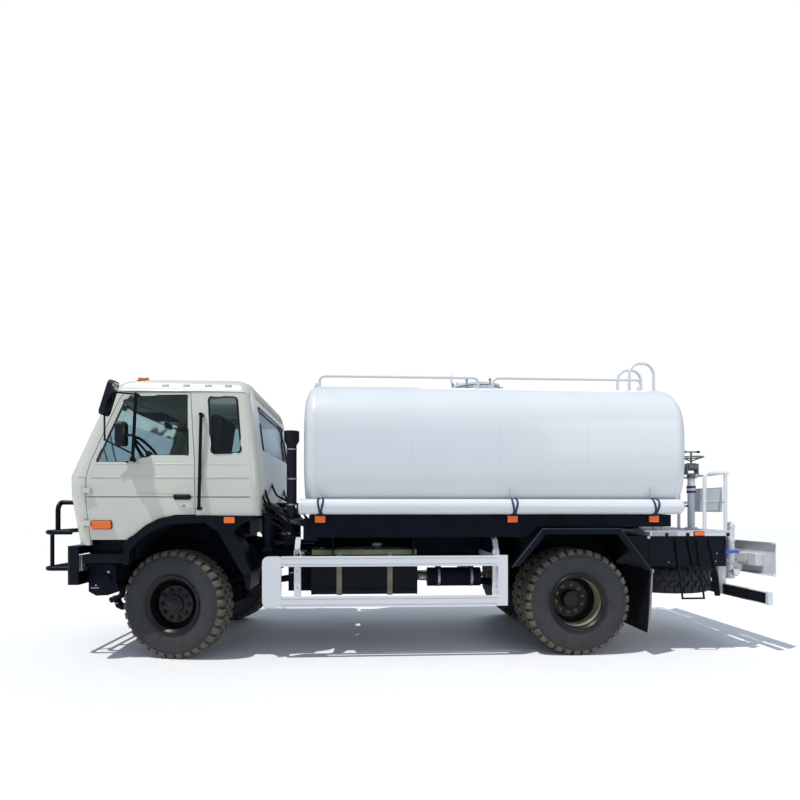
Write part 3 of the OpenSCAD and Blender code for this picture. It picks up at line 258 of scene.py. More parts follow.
def group(*shapes):
    total = Shape()
    for s in shapes:
        total.add(s)
    return total


def shift(x, y, z):
    return Matrix.Translation((x, y, z))


def rotate(angle, axis):
    return Matrix.Rotation(angle, 4, axis)


MIRROR_Y = Matrix.Scale(-1, 4, (0, 1, 0))


SIDES = (("left", False), ("right", True))


def both(*shapes):
    """The shapes as one, on the left side and mirrored on the right."""
    shape = group(*shapes)
    return group(shape, shape.moved(MIRROR_Y))


def sided(flip, *shapes):
    """The shapes as one, on the left side or, flipped, on the right."""
    shape = group(*shapes)
    return shape.moved(MIRROR_Y) if flip else shape


def box(lo, hi):
    corners = [(x, y, z) for x in (lo[0], hi[0]) for y in (lo[1], hi[1]) for z in (lo[2], hi[2])]
    return Shape(corners, [(0, 1, 3, 2), (4, 6, 7, 5), (0, 4, 5, 1), (2, 3, 7, 6), (0, 2, 6, 4),
                           (1, 5, 7, 3)])


def lathe(profile, steps=64, closed=False):
    """A profile of (radius, z) turned about z; a closed one comes back to its start."""
    verts, faces, n = [], [], len(profile)
    for k in range(steps):
        a = math.tau * k / steps
        verts += [(r * math.cos(a), r * math.sin(a), z) for r, z in profile]
    for k in range(steps):
        for i in range(n if closed else n - 1):
            j = (i + 1) % n
            faces.append((k * n + i, (k + 1) % steps * n + i, (k + 1) % steps * n + j, k * n + j))
    return Shape(verts, faces)


def disc_stack(profile, steps=32):
    """A solid of revolution about z, closed by a fan at each end."""
    shape = lathe(profile, steps)
    n = len(profile)
    shape.faces.append([k * n for k in range(steps)][::-1])
    shape.faces.append([k * n + n - 1 for k in range(steps)])
    return shape


def aim(p, q):
    """The matrix that carries the z axis onto the line from p to q."""
    d = Vector(q) - Vector(p)
    return Matrix.Translation(Vector(p)) @ d.to_track_quat("Z", "Y").to_matrix().to_4x4()


def drum(p, q, radius, steps=24, chamfer=1.5):
    """A cylinder from p to q with chamfered ends."""
    h = (Vector(q) - Vector(p)).length
    c = min(chamfer, h / 3, radius / 3)
    profile = [(radius - c, 0), (radius, c), (radius, h - c), (radius - c, h)]
    return disc_stack(profile, steps).moved(aim(p, q))


def smooth_path(points, per=6, closed=False):
    """Catmull-Rom points through the given ones."""
    pts = [Vector(p) for p in points]
    n = len(pts)
    out = []
    for i in range(n if closed else n - 1):
        p0 = pts[(i - 1) % n] if closed or i > 0 else pts[i]
        p1, p2 = pts[i], pts[(i + 1) % n]
        p3 = pts[(i + 2) % n] if closed or i + 2 < n else p2
        for k in range(per):
            t = k / per
            out.append(0.5 * ((2 * p1) + (p2 - p0) * t + (2 * p0 - 5 * p1 + 4 * p2 - p3) * t ** 2
                              + (3 * p1 - p0 - 3 * p2 + p3) * t ** 3))
    if not closed:
        out.append(pts[-1])
    return out


def tube(points, radius, steps=10, closed=False, flat=1.0, up=None):
    """A round or flattened bar through the points."""
    pts = [Vector(p) for p in points]
    n = len(pts)
    side = None
    verts, faces = [], []
    for i, p in enumerate(pts):
        before = pts[i - 1] if closed or i > 0 else p
        after = pts[(i + 1) % n] if closed or i + 1 < n else p
        d = (after - before).normalized()
        if side is None:
            ref = Vector(up) if up else Vector((0.31, 0.52, 0.8))
            side = ref.cross(d).normalized()
        side = (side - d * side.dot(d)).normalized()
        other = d.cross(side)
        for k in range(steps):
            a = math.tau * k / steps
            verts.append(p + side * math.cos(a) * radius + other * math.sin(a) * radius * flat)
    for i in range(n if closed else n - 1):
        j = (i + 1) % n
        for k in range(steps):
            m = (k + 1) % steps
            faces.append((i * steps + k, i * steps + m, j * steps + m, j * steps + k))
    shape = Shape(verts, faces)
    if not closed:
        shape.faces.append(list(range(steps))[::-1])
        shape.faces.append([(n - 1) * steps + k for k in range(steps)])
    return shape


def prism(outline, lo, hi, axis="y"):
    """An outline extruded between lo and hi along y (points x, z), x (y, z) or z (x, y)."""
    order = {"y": lambda a, b, t: (a, t, b), "x": lambda a, b, t: (t, a, b), "z": lambda a, b,
             t: (a, b, t)}[axis]
    n = len(outline)
    verts = [order(a, b, t) for t in (lo, hi) for a, b in outline]
    faces = [list(range(n)), list(range(2 * n - 1, n - 1, -1))]
    faces += [(i, i + n, (i + 1) % n + n, (i + 1) % n) for i in range(n)]
    return Shape(verts, faces)


def round_rect(x0, z0, x1, z1, r, steps=4):
    """Corner-rounded outline, anticlockwise from the lower right corner."""
    out = []
    for cx, cz, a0 in ((x1 - r, z0 + r, -90), (x1 - r, z1 - r, 0), (x0 + r, z1 - r, 90),
                       (x0 + r, z0 + r, 180)):
        for k in range(steps + 1):
            a = math.radians(a0 + 90 * k / steps)
            out.append((cx + r * math.cos(a), cz + r * math.sin(a)))
    return out


def put(name, shape, mat, body="root", slot=None, edge=0.0, replaces=()):
    """Makes one object of a shape, riding on a body."""
    mesh = bpy.data.meshes.new(name)
    mesh.from_pydata([place(v) for v in shape.verts], [], shape.faces)
    mesh.validate()
    obj = bpy.data.objects.new(name, mesh)
    bpy.context.scene.collection.objects.link(obj)
    mesh.materials.append(mat)
    bm = bmesh.new()
    bm.from_mesh(mesh)
    bmesh.ops.recalc_face_normals(bm, faces=bm.faces)
    for e in bm.edges:
        e.smooth = len(e.link_faces) == 2 and e.calc_face_angle(0) < SHARP
    for f in bm.faces:
        f.smooth = True
    bm.to_mesh(mesh)
    bm.free()
    if edge:
        bevel = obj.modifiers.new("edge", "BEVEL")
        bevel.width = edge * MM
        bevel.segments = 2
        bevel.limit_method = "ANGLE"
        bevel.angle_limit = SHARP
        shade = obj.modifiers.new("shade", "WEIGHTED_NORMAL")
        shade.keep_sharp = False
        for e in mesh.edges:
            e.use_edge_sharp = False
    slot = slot or SLOTS[mat]
    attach(obj, body)
    if replaces:
        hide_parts(*replaces)
    return obj


def tree_of(*names):
    """A ray target made of CAD nodes, in millimetres from the front axle."""
    verts, faces = [], []
    for name in names:
        base = len(verts)
        verts += [Vector((v.co.x / MM - AXLE_X, v.co.y / MM, v.co.z / MM)) for v in NODES[name].data.vertices]
        faces += [[base + i for i in f.vertices] for f in NODES[name].data.polygons]
    return BVHTree.FromPolygons(verts, faces)


CAB_TREE = tree_of("cab_front_panel", "cab_roof", "cab_back_panel", "cab_sides", "door_left", "door_right",
                   "cab_glass", "door_glass_left", "door_glass_right")
TANK_TREE = tree_of("tank")
FAR = 4000


def side_y(x, z, default=1186.0):
    """The y of the outside of the left side at x, z."""
    hit = CAB_TREE.ray_cast(Vector((x, FAR, z)), Vector((0, -1, 0)))[0]
    return hit.y if hit else default


def front_x(y, z, default=990.0):
    hit = CAB_TREE.ray_cast(Vector((FAR, y, z)), Vector((-1, 0, 0)))[0]
    return hit.x if hit else default


def back_x(y, z, default=-806.0):
    hit = CAB_TREE.ray_cast(Vector((-FAR, y, z)), Vector((1, 0, 0)))[0]
    return hit.x if hit else default


def top_z(x, y, tree=TANK_TREE, default=2800.0):
    hit = tree.ray_cast(Vector((x, y, FAR)), Vector((0, 0, -1)))[0]
    return hit.z if hit else default


# ------------------------------------------------------------ wheels

TYRE_R = 530.0
WALL = [(260, -99), (268, -108), (288, -119), (330, -131), (380, -137.5), (425, -139.5), (448, -138),
        (470, -134), (490, -128), (504, -119), (510, -108)]


def tyre_wall():
    """The carcass with its ribs, under the tread blocks."""
    side = []
    for r, z in WALL:
        side.append((r, z))
        if r in (288, 448):  # raised rings at the bead and at the shoulder
            side += [(r + 1, z - 2.5), (r + 8, z - 2.7), (r + 9, z)]
    profile = side + [(512, 0)] + [(r, -z) for r, z in reversed(side)]
    return lathe(profile + [(258.5, 98), (258.5, -98)], 96, closed=True)


def tread_block(a0, a1, z0, z1, lean, r_low, r_top):
    """A block on the tread between two angles and two widths, its far side turned by lean."""
    verts = []
    for r, shrink in ((r_low, 0.0), (r_top - 4, 0.6), (r_top, 3.0)):
        for a, z, sa, sz in ((a0, z0, 1, 1), (a1, z0, -1, 1), (a1, z1, -1, -1), (a0, z1, 1, -1)):
            turn = lean if z == z1 else 0
            angle = a + turn + sa * shrink / r
            verts.append((r * math.cos(angle), r * math.sin(angle), z + sz * shrink))
    faces = [(0, 3, 2, 1), (8, 9, 10, 11)]
    for k in (0, 4):
        faces += [(k + i, k + (i + 1) % 4, k + 4 + (i + 1) % 4, k + 4 + i) for i in range(4)]
    return Shape(verts, faces)


def shoulder_lug(a0, a1, s):
    """A lug that starts on the tread and runs down over the shoulder."""
    section = [(500, 62), (TYRE_R, 62), (TYRE_R, 104), (TYRE_R - 4, 112), (512, 129), (484, 137), (480, 133),
               (478, 100)]
    verts = []
    for k, a in enumerate((a0, a0 + 0.006, a1 - 0.006, a1)):
        inset = 0 if k in (1, 2) else 4
        for r, z in section:
            rr = r - inset if r > 481 else r
            verts.append((rr * math.cos(a), rr * math.sin(a), s * z))
    n = len(section)
    faces = [list(range(n)), [3 * n + i for i in range(n)][::-1]]
    for k in range(3):
        faces += [(k * n + i, k * n + (i + 1) % n, (k + 1) * n + (i + 1) % n, (k + 1) * n + i)
                  for i in range(n)]
    return Shape(verts, faces)


def tread(count=34):
    """Big shoulder lugs with two staggered rows of slanted blocks between them."""
    step = math.tau / count
    shape = Shape()
    for i in range(count):
        a = i * step
        for s in (-1, 1):
            off = a + (0 if s > 0 else step / 2)
            shape.add(shoulder_lug(off, off + step * 0.66, s))
            shape.add(tread_block(off + step * 0.30, off + step * 0.96, s * 54, s * 5, step * 0.32, 508,
                                  TYRE_R))
    return shape


def wheel_frame(side, x, y, steered=False):
    """From the wheel's own axes, z outwards, to the truck's."""
    m = shift(x, side * y, HUB_Z) @ rotate(-side * math.pi / 2, "X")
    if steered:
        pin = shift(0, side * 780, 0)
        m = pin @ rotate(STEER, "Z") @ pin.inverted() @ m
    return m


def ring_of(shape, radius, count, start=0.0):
    return group(*[shape.moved(rotate(start + math.tau * i / count, "Z") @ shift(radius, 0, 0))
                   for i in range(count)])


RIM_LIP = [(242, 96), (248, 99), (256, 103), (259, 112), (270, 124), (281, 131), (286, 131), (286, 134),
           (283, 137), (272, 134), (262, 124), (252, 112), (244, 106)]


def rim_parts(lips):
    """The rolled lips and the well between them, for rings centred at the given z."""
    shape = Shape()
    for z0 in lips:
        for s in (-1, 1):
            shape.add(lathe([(r, z0 + s * z) for r, z in RIM_LIP], 72, closed=True))
        shape.add(lathe([(255.5, z0 - 97), (244, z0 - 97), (243, z0), (244, z0 + 97), (255.5, z0 + 97)], 72,
                        closed=True))
    return shape


def nut(radius, height, stud=0.55):
    hexagon = [(radius * math.cos(math.tau * i / 6), radius * math.sin(math.tau * i / 6)) for i in range(6)]
    return group(prism(hexagon, 0, height, "z"), disc_stack([(radius * 1.3, 0), (radius * 1.35, 1),
                                                             (radius * 1.3, 3)], 20),
                 disc_stack([(radius * stud, height - 2), (radius * stud, height + 9),
                             (radius * stud - 2, height + 11)], 12))


def front_rim():
    face = [(243, -2), (236, 2), (222, 8), (205, 16), (196, 30), (190, 52), (184, 60), (176, 63), (166, 64)]
    dish = lathe(face + [(118, 64), (108, 70), (98, 72), (93, 80), (92, 92), (86, 97), (60, 97), (57, 104),
                         (50, 108), (0.5, 109)], 72)
    back = lathe([(243, -10), (180, 40), (93, 50), (93, -60)], 48)
    cup = lathe([(24, 1), (25, 6), (22.5, 7.5), (20, 6), (18, 1)], 24)
    cups = ring_of(cup.moved(shift(0, 0, 63)), NUT_CIRCLE, 10)
    bolts = ring_of(nut(13.5, 15).moved(shift(0, 0, 64)), NUT_CIRCLE, 10)
    hub_bolts = ring_of(nut(6, 5, 0.4).moved(shift(0, 0, 96)), 73, 8, 0.2)
    slots = ring_of(disc_stack([(13, -2), (13, 1.5), (11, 2)], 20).moved(shift(0, 0, 11)), 218, 10, 0.31)
    return group(dish, back, cups, bolts, hub_bolts), slots


def rear_rims():
    half = 158
    plate = lathe([(243, half - 75), (238, half - 60), (225, 70), (205, 40), (190, 20), (178, 16), (112, 16),
                   (108, 22), (96, 24), (94, 40), (93, 100), (88, 108), (70, 112), (66, 108), (30, 108),
                   (0.5, 108)], 72)
    inner = lathe([(243, -half + 75), (225, -70), (190, -16), (120, -10)], 72)
    bolts = ring_of(nut(15, 22).moved(shift(0, 0, 16)), NUT_CIRCLE, 10, 0.2)
    flange = ring_of(nut(7, 7, 0.4).moved(shift(0, 0, 107)), 78, 10, 0.1)
    return group(plate, inner, flange), bolts


TYRE, TREAD_BLOCKS = tyre_wall(), tread()
for side, tag in ((1, "left"), (-1, "right")):
    m = wheel_frame(side, 0, 940, steered=True)
    body = "wheel_front_" + tag
    put("tyre_wall_front_" + tag, TYRE.moved(m), RUBBER, body, replaces=["front_tyre_" + tag])
    put("tyre_tread_front_" + tag, TREAD_BLOCKS.moved(m), TREAD, body)
    disc, slots = front_rim()
    put("rim_front_" + tag, group(rim_parts([0]), disc).moved(m), RIM, body, replaces=["front_rim_" + tag])
    put("rim_vents_front_" + tag, slots.moved(m), SEAL, body, "chassis_black")
    m = wheel_frame(side, REAR_X, 847)
    body = "wheel_rear_" + tag
    twins = [shift(0, 0, z) for z in (158, -158)]
    put("tyre_walls_rear_" + tag, group(*[TYRE.moved(m @ t) for t in twins]), RUBBER, body,
        replaces=["rear_tyres_" + tag])
    put("tyre_treads_rear_" + tag, group(*[TREAD_BLOCKS.moved(m @ t) for t in twins]), TREAD, body)
    disc, bolts = rear_rims()
    put("rims_rear_" + tag, group(rim_parts([158, -158]), disc).moved(m), RIM, body,
        replaces=["rear_rims_" + tag])
    put("wheel_nuts_rear_" + tag, bolts.moved(m), OLIVE, body, "chassis_black")
    cone = lathe([(242.4, 250), (242, 160), (240.5, 95), (236, 88), (238, 95), (240, 160), (240.5, 250)], 72,
                 closed=True)
    put("rim_dust_rear_" + tag, cone.moved(m), OLIVE, body, "chassis_black")

spare = shift(SPARE_X, SPARE_Y, 705)
put("spare_tyre_wall", TYRE.moved(spare), RUBBER, replaces=["spare_wheel"])
put("spare_tyre_tread", TREAD_BLOCKS.moved(spare), SPARE)
put("spare_rim", group(rim_parts([0]), front_rim()[0].moved(shift(0, 0, -30))).moved(spare), RIM)
put("spare_hanger", group(drum((SPARE_X, SPARE_Y, 640), (SPARE_X, SPARE_Y, 880), 20),
                          drum((SPARE_X, SPARE_Y, 640), (SPARE_X, SPARE_Y, 652), 110)), CHASSIS)

# ------------------------------------------------------------ cab trim


def on_side(points, lift):
    """x, z points laid on the cab's left side, lifted outwards."""
    return [Vector((x, side_y(x, z) + lift, z)) for x, z in points]


def ribbon(points, width, lift, thick):
    """A flat strip that follows the cab's side along x, z points that run fore and aft."""
    pts = []
    for (x0, z0), (x1, z1) in zip(points, points[1:]):
        n = max(2, int(math.hypot(x1 - x0, z1 - z0) / 60))
        pts += [(x0 + (x1 - x0) * k / n, z0 + (z1 - z0) * k / n) for k in range(n)]
    pts.append(points[-1])
    verts = []
    for x, z in pts:
        low = side_y(x, z - width / 2)
        high = side_y(x, z + width / 2)
        verts += [(x, low + lift - thick, z - width / 2), (x, high + lift - thick, z + width / 2),
                  (x, high + lift, z + width / 2), (x, low + lift, z - width / 2)]
    n = len(pts)
    faces = [(0, 1, 2, 3), tuple((n - 1) * 4 + i for i in (3, 2, 1, 0))]
    for i in range(n - 1):
        faces += [(i * 4 + k, i * 4 + (k + 1) % 4, i * 4 + 4 + (k + 1) % 4, i * 4 + 4 + k) for k in range(4)]
    return Shape(verts, faces)


def dense(outline, step=45.0):
    """The outline with extra points, so that it can follow a curved panel."""
    out = []
    for a, b in zip(outline, outline[1:] + outline[:1]):
        n = max(1, int(math.dist(a, b) / step))
        out += [(a[0] + (b[0] - a[0]) * k / n, a[1] + (b[1] - a[1]) * k / n) for k in range(n)]
    return out


def rounded(points, radii, steps=5):
    """An outline with each corner rounded."""
    out, n = [], len(points)
    for i, p in enumerate(points):
        r = radii[i] if isinstance(radii, (list, tuple)) else radii
        p, a, b = Vector(p), Vector(points[i - 1]), Vector(points[(i + 1) % n])
        u, v = (a - p).normalized(), (b - p).normalized()
        half = math.acos(max(-1, min(1, u.dot(v)))) / 2
        d = min(r / math.tan(half), (a - p).length / 2, (b - p).length / 2)
        for k in range(steps + 1):
            t = k / steps
            out.append(tuple(p + u * d * (1 - t) ** 2 + v * d * t ** 2))
    return out


DOOR_WINDOW = rounded([(722, 1912), (497, 2511), (437, 2556), (-101, 2570), (-131, 1978), (215, 1978),
                       (430, 1912)], [12, 60, 60, 20, 20, 60, 60])
SIDE_WINDOW = rounded([(-299, 2561), (-574, 2555), (-632, 2006), (-347, 1997)], 45)
WINDSCREEN = rounded([(-1030, 1862), (1030, 1862), (945, 2560), (-945, 2560)], 70)
BACK_WINDOW = rounded([(-800, 2070), (800, 2070), (770, 2525), (-770, 2525)], 50)


def gasket(points, radius=9.0):
    return tube(points, radius, 8, closed=True, flat=0.55)


for tag, flip in SIDES:
    door = "door_" + tag
    put("door_seal_" + tag, sided(flip, gasket(on_side(dense(DOOR_WINDOW), 1.0), 7)), SEAL, door)
    # Black strip along the pressed groove: painted shade, since the groove itself is cab paint
    put("door_groove_shade_" + tag, sided(flip, ribbon([(790, GROOVE_Z), (-190, GROOVE_Z)], 7, 1.2, 3)), SEAL, door,
        "cab_paint")
    creases = group(ribbon([(770, CREASE_Z), (-188, CREASE_Z)], 9, 4.0, 6),
                    ribbon([(735, SILL_Z), (-188, SILL_Z)], 8, 3.0, 6))
    put("door_creases_" + tag, sided(flip, creases), CAB, door, edge=1.5)
    put("door_line_" + tag, sided(flip, ribbon([(350, 1618), (-30, 1606)], 13, 1.0, 2)), GOLD, door)
    pocket = side_y(-86, 1589)
    handle = prism(round_rect(-165, 1552, 0, 1604, 20), pocket - 4, pocket + 3.5)
    grip = tube(smooth_path([(-4, pocket + 2, 1592), (-20, pocket + 22, 1590), (-80, pocket + 28, 1588),
                             (-150, pocket + 22, 1586), (-160, pocket + 2, 1586)], 5), 11, 10, flat=0.6,
                up=(0, 1, 0))
    put("door_handle_" + tag, sided(flip, handle, grip), PLASTIC, door, edge=1)
    lock_y = side_y(-95, 1497)
    put("door_lock_" + tag, sided(flip, drum((-95, lock_y - 2, 1497), (-95, lock_y + 6, 1497), 13)), STEEL,
        door, "black_plastic")
    lamp_y = side_y(665, 1315)
    put("door_lamp_base_" + tag, sided(flip, prism(round_rect(572, 1272, 758, 1358, 18), lamp_y - 10,
                                                   lamp_y + 6)), SEAL, door, edge=1)
    lens = group(prism(round_rect(578, 1278, 752, 1352, 15), lamp_y, lamp_y + 26),
                 *[box((x, lamp_y + 20, 1290), (x + 5, lamp_y + 28, 1340)) for x in range(594, 740, 18)])
    put("door_lamp_" + tag, sided(flip, lens), AMBER, door, edge=3)
    # Hinge plates at the front edge of the door
    plates = []
    for z in (1330, 1640):
        plates += [box((770, 1190, z - 20), (812, 1197, z + 20)), drum((790, 1196, z), (790, 1201, z), 6)]
    put("door_hinge_plates_" + tag, sided(flip, *plates), CAB, door, edge=1)
    # Mirror glasses on the rear faces of both heads
    tilt = math.radians(-17)
    head = shift(543, 1300, 2490) @ rotate(tilt, "Y")
    glass_plate = prism(round_rect(-62, -155, 62, 155, 30), -22, -18, "x").moved(head)
    wide = prism(round_rect(-60, -100, 60, 100, 32), 401, 404, "x").moved(shift(0, 1290, 2160))
    put("mirror_glasses_" + tag, sided(flip, glass_plate, wide), MIRROR, door)
    lever = tube([(-70, 1135, 1660), (-60, 1120, 1670), (60, 1118, 1690)], 9, 8)
    put("door_inner_handle_" + tag, sided(flip, lever), PLASTIC, door)

put("quarter_window_seals", both(gasket(on_side(dense(SIDE_WINDOW), 1.0), 11)), SEAL)
put("windscreen_seal", gasket([Vector((front_x(y, z) + 1, y, z)) for y, z in dense(WINDSCREEN)], 14), SEAL)
put("back_window_seal", gasket([Vector((back_x(y, z) - 1, y, z)) for y, z in dense(BACK_WINDOW)], 12), SEAL)
# Black strips along the pressed groove on the cab sides: painted shade, since the groove itself is cab paint
put("side_groove_shade", both(ribbon([(975, GROOVE_Z), (798, GROOVE_Z)], 7, 1.2, 3),
                         ribbon([(-212, GROOVE_Z), (-780, GROOVE_Z)], 7, 1.2, 3)), SEAL, slot="cab_paint")
put("side_creases", both(ribbon([(940, CREASE_Z), (808, CREASE_Z)], 9, 4, 6),
                         ribbon([(-212, CREASE_Z), (-760, CREASE_Z)], 9, 4, 6),
                         ribbon([(-215, SILL_Z), (-740, SILL_Z)], 8, 3, 6)), CAB, edge=1.5)

# Drip rail over the doors
rail_pts = [(690, 2475), (640, 2560), (560, 2606), (400, 2612), (-200, 2618), (-640, 2612)]
put("drip_rails", both(tube(smooth_path(on_side(rail_pts, 6), 6), 10, 8, flat=0.7)), CAB)

# Pressed ribs at the rear of the roof and along its edge
ribs = []
for x in (120, -80, -290, -480):
    y = side_y(x, 2665)
    ribs.append(prism(round_rect(x - 36, 2650, x + 36, 2682, 10), y - 16, y + 5))
put("roof_pads", both(*ribs), CAB, edge=3)
slats = []
for y in range(-780, 781, 120):
    pts = []
    for k in range(12):
        z = 2590 + k * 14
        pts.append((back_x(y, z) - 3, y, z))
    slats.append(tube(pts, 13, 8, flat=0.6))
put("roof_rear_ribs", group(*slats), CAB)
CAB_ROOF = tree_of("cab_roof")
lamps, bases = [], []
for y in (700, -700, 0):
    x, z = 470, top_z(470, y, CAB_ROOF) + (34 if y else 0)
    bases.append(prism(round_rect(x - 62, y - 36, x + 62, y + 36, 20), z - 14, z + 18, "z"))
    lamps.append(prism(round_rect(x - 50, y - 28, x + 54, y + 28, 18), z + 16, z + 50, "z"))
put("roof_lamp_bases", group(*bases), PLASTIC, edge=3)
put("roof_lamps", group(*lamps), AMBER, edge=8)

# Grille and panel lines on the nose
bars = []
for k in range(7):
    z = 1290 + k * 38
    bars.append(tube([(front_x(y, z) + 5, y, z) for y in range(-640, 641, 64)], 11, 8, flat=0.5,
                     up=(0, 0, 1)))
put("grille_bars", group(*bars), PLASTIC)
put("grille_mesh", group(*[tube([(front_x(y, z) + 2, y, z) for z in range(1275, 1540, 33)], 4, 6)
                           for y in range(-620, 621, 62)]), SEAL)
frame_pts = dense(round_rect(-660, 1258, 660, 1556, 40), 60)
put("grille_frame", gasket([Vector((front_x(y, z) + 4, y, z)) for y, z in frame_pts], 13), PLASTIC)
# Black line along the pressed groove across the nose: painted shade, since the groove itself is cab paint
nose_line = [(front_x(y, GROOVE_Z) + 0.6, y, GROOVE_Z) for y in range(-1000, 1001, 50)]
put("nose_groove_shade", tube(nose_line, 4, 6), SEAL, slot="cab_paint")
put("nose_crease", tube([(front_x(y, CREASE_Z) + 1, y, CREASE_Z) for y in range(-1000, 1001, 50)], 6, 8), CAB)
hand_rail = smooth_path([(front_x(y, 1690) + (52 if abs(y) < 600 else 4), y, 1690)
                         for y in (-640, -590, -300, 0, 300, 590, 640)], 4)
put("nose_hand_rail", tube(hand_rail, 12, 10), BLACK, slot="black_plastic")

# Wipers
for n, (y0, y1) in enumerate(((-620, -60), (60, 620))):
    arm = [(front_x(y0 + (y1 - y0) * t, 1835 + 260 * t) + 14 + 12 * math.sin(3.1 * t), y0 + (y1 - y0) * t,
            1835 + 260 * t) for t in (0, 0.25, 0.5, 0.75, 1)]
    blade = [(front_x(y, 1890 + (y - y0) * 0.62) + 7, y, 1890 + (y - y0) * 0.62)
             for y in range(y0 + 90, y1 + 60, 60)]
    put("wiper_%d" % n, group(tube(arm, 6, 8), tube(blade, 7, 8, flat=0.5),
                              drum((front_x(y0, 1835) - 4, y0, 1835), (front_x(y0, 1835) + 26, y0, 1835),
                                   16)), SEAL)

# Sun band inside the windscreen and a visor
band = Shape()
rows = []
for z in (2380, 2440, 2500, 2545):
    rows.append([(front_x(y, z) - 54, y, z) for y in range(-900, 901, 100)])
n = len(rows[0])
band.verts = [Vector(p) for r in rows for p in r]
band.faces = [[i * n + k, i * n + k + 1, (i + 1) * n + k + 1, (i + 1) * n + k] for i in range(len(rows) - 1)
              for k in range(n - 1)]
put("sun_band", band, BAND)
put("sun_visors", both(prism(round_rect(250, 2440, 520, 2452, 5), 250, 780)), FABRIC)
put("inner_mirror", group(box((470, -110, 2400), (482, 110, 2460)), drum((476, 0, 2455), (500, 0, 2560), 8)),
    PLASTIC, edge=4)

# ------------------------------------------------------------ cab base, steps and front

for tag, flip in SIDES:
    grips = [prism(round_rect(x, 975, x + 26, 1172, 6), 1031.5, 1036, "z") for x in range(476, 830, 40)]
    put("step_grips_" + tag, sided(flip, *grips), PLASTIC, slot="body_black", edge=1)
    edge_pts = [(452, 936), (428, 1160), (350, 1226), (255, 1303), (141, 1361), (-11, 1396), (-770, 1396)]
    lip = tube(smooth_path([(x, 1201, z - 8) for x, z in edge_pts], 5), 7, 8)
    put("arch_lip_" + tag, sided(flip, lip), BLACK)
    flare_bolts = [drum((x, 1203, z), (x, 1207, z), 8, 12, 1) for x,
                   z in ((300, 1225), (200, 1290), (90, 1330), (-60, 1358), (-220, 1362), (-380, 1362))]
    put("arch_bolts_" + tag, sided(flip, *flare_bolts), SEAL, slot="body_black")
    inner = [(400, 980), (380, 1090), (310, 1180), (210, 1255), (100, 1300), (-11, 1322), (-240, 1322),
             (-420, 1250), (-560, 1060), (-660, 860)]
    arch = smooth_path([(x, 0, z) for x, z in inner], 3)
    liner = Shape([(p.x, y, p.z) for p in arch for y in (470, 1108)],
                  [(2 * i, 2 * i + 1, 2 * i + 3, 2 * i + 2) for i in range(len(arch) - 1)])
    put("arch_liner_" + tag, sided(flip, liner), PLASTIC, slot="body_black")
    flap = prism([(-660, 830), (-738, 862), (-716, 690), (-684, 700)], 760, 1190)
    put("front_flap_" + tag, sided(flip, flap), CHASSIS, slot="body_black", edge=2)
    ribs = [box((-600 - 20 * k, 1120, 1150 - 46 * k), (-586 - 20 * k, 1196, 1158 - 46 * k)) for k in range(6)]
    put("arch_ribs_" + tag, sided(flip, *ribs), PLASTIC, slot="body_black")

    # Head lamps set in the bumper
    lamp = prism(round_rect(662, 850, 978, 1010, 26), 952, 1016, "x")
    put("head_lamp_" + tag, sided(flip, lamp), CLEAR, edge=8, replaces=["lamps"] if not flip else ())
    bezels = [gasket([Vector((1016, y + 70 * math.cos(a), 930 + 70 * math.sin(a)))
                      for a in [math.tau * k / 24 for k in range(24)]], 8) for y in (745, 895)]
    put("head_lamp_rings_" + tag, sided(flip, *bezels), PLASTIC)
    fold = box((890, 1168, 800), (960, 1172, 1060))
    put("bumper_end_" + tag, sided(flip, fold, *[drum((925, 1170, z), (925, 1177, z), 11, 12)
                                                 for z in (830, 1030)]), BLACK, edge=2)
    # Side markers under the tank, on the deck and on the wheel arch
    spots = [(-1380, 1331, 1398, 1088), (-3290, 1331, 1398, 1088), (-4740, 1331, 1398, 1088),
             (-5210, 1196, 1236, 1100), (-531, 1330, 1386, 1204)]
    shells, lenses = [], []
    for x, z0, z1, y in spots:
        shells.append(prism(round_rect(x - 56, z0 - 4, x + 56, z1 + 4, 8), y - 1, y + 8))
        lenses.append(prism(round_rect(x - 50, z0, x + 50, z1, 9), y + 6, y + 19 if y != 1204 else y + 12))
        lenses += [box((x + dx, y + 16, z0 + 8), (x + dx + 4, y + 20, z1 - 8)) for dx in (-28, -2, 24)
                   if y != 1204]
    put("side_marker_shells_" + tag, sided(flip, *shells), SEAL)
    put("side_markers_" + tag, sided(flip, *lenses), AMBER, edge=3)

# Towing step and steering link seen below the front bumper
front_gear = prism([(872, 905), (872, 660), (800, 618), (690, 622), (640, 700), (610, 770), (610, 905)], 470,
                   1010)
put("front_gear", both(front_gear, box((620, 440, 905), (880, 1060, 930)),
                       drum((660, 560, 700), (660, 1000, 700), 62),
                       drum((720, 1010, 760), (720, 1030, 760), 70)), CHASSIS, edge=6)
put("front_gear_marks", both(box((770, 1008, 690), (850, 1014, 700)),
                             drum((800, 1009, 720), (800, 1016, 720), 10),
                             drum((680, 1009, 850), (680, 1018, 850), 14)), STEEL, slot="chassis_black")
put("front_tow_step", both(tube([(600, 840, 700), (640, 830, 590), (700, 800, 560), (760, 790, 540)], 30, 12),
                           tube([(700, 800, 566), (650, 850, 500), (590, 880, 486)], 38, 12, flat=0.55)),
    CHASSIS)
put("front_tow_grip", both(box((640, 852, 520), (676, 900, 530)), drum((740, 770, 566), (712, 812, 572), 20)),
    STEEL, slot="chassis_black", edge=2)
put("front_tow_pins", both(drum((810, 340, 680), (810, 440, 680), 16.5),
                           drum((810, 436, 680), (810, 448, 680), 26)), STEEL, slot="chassis_black")
bumper_bolts = [drum((1049, y, z), (1056, y, z), 12, 12) for y in (-360, -120, 120, 360) for z in (800, 1060)]
put("bumper_bolts", group(*bumper_bolts), STEEL, slot="body_black")
put("plate_holder", prism(round_rect(-230, 860, 230, 1000, 8), 1049, 1056, "x"), GREY, slot="body_black",
    edge=1)

# ------------------------------------------------------------ behind the cab

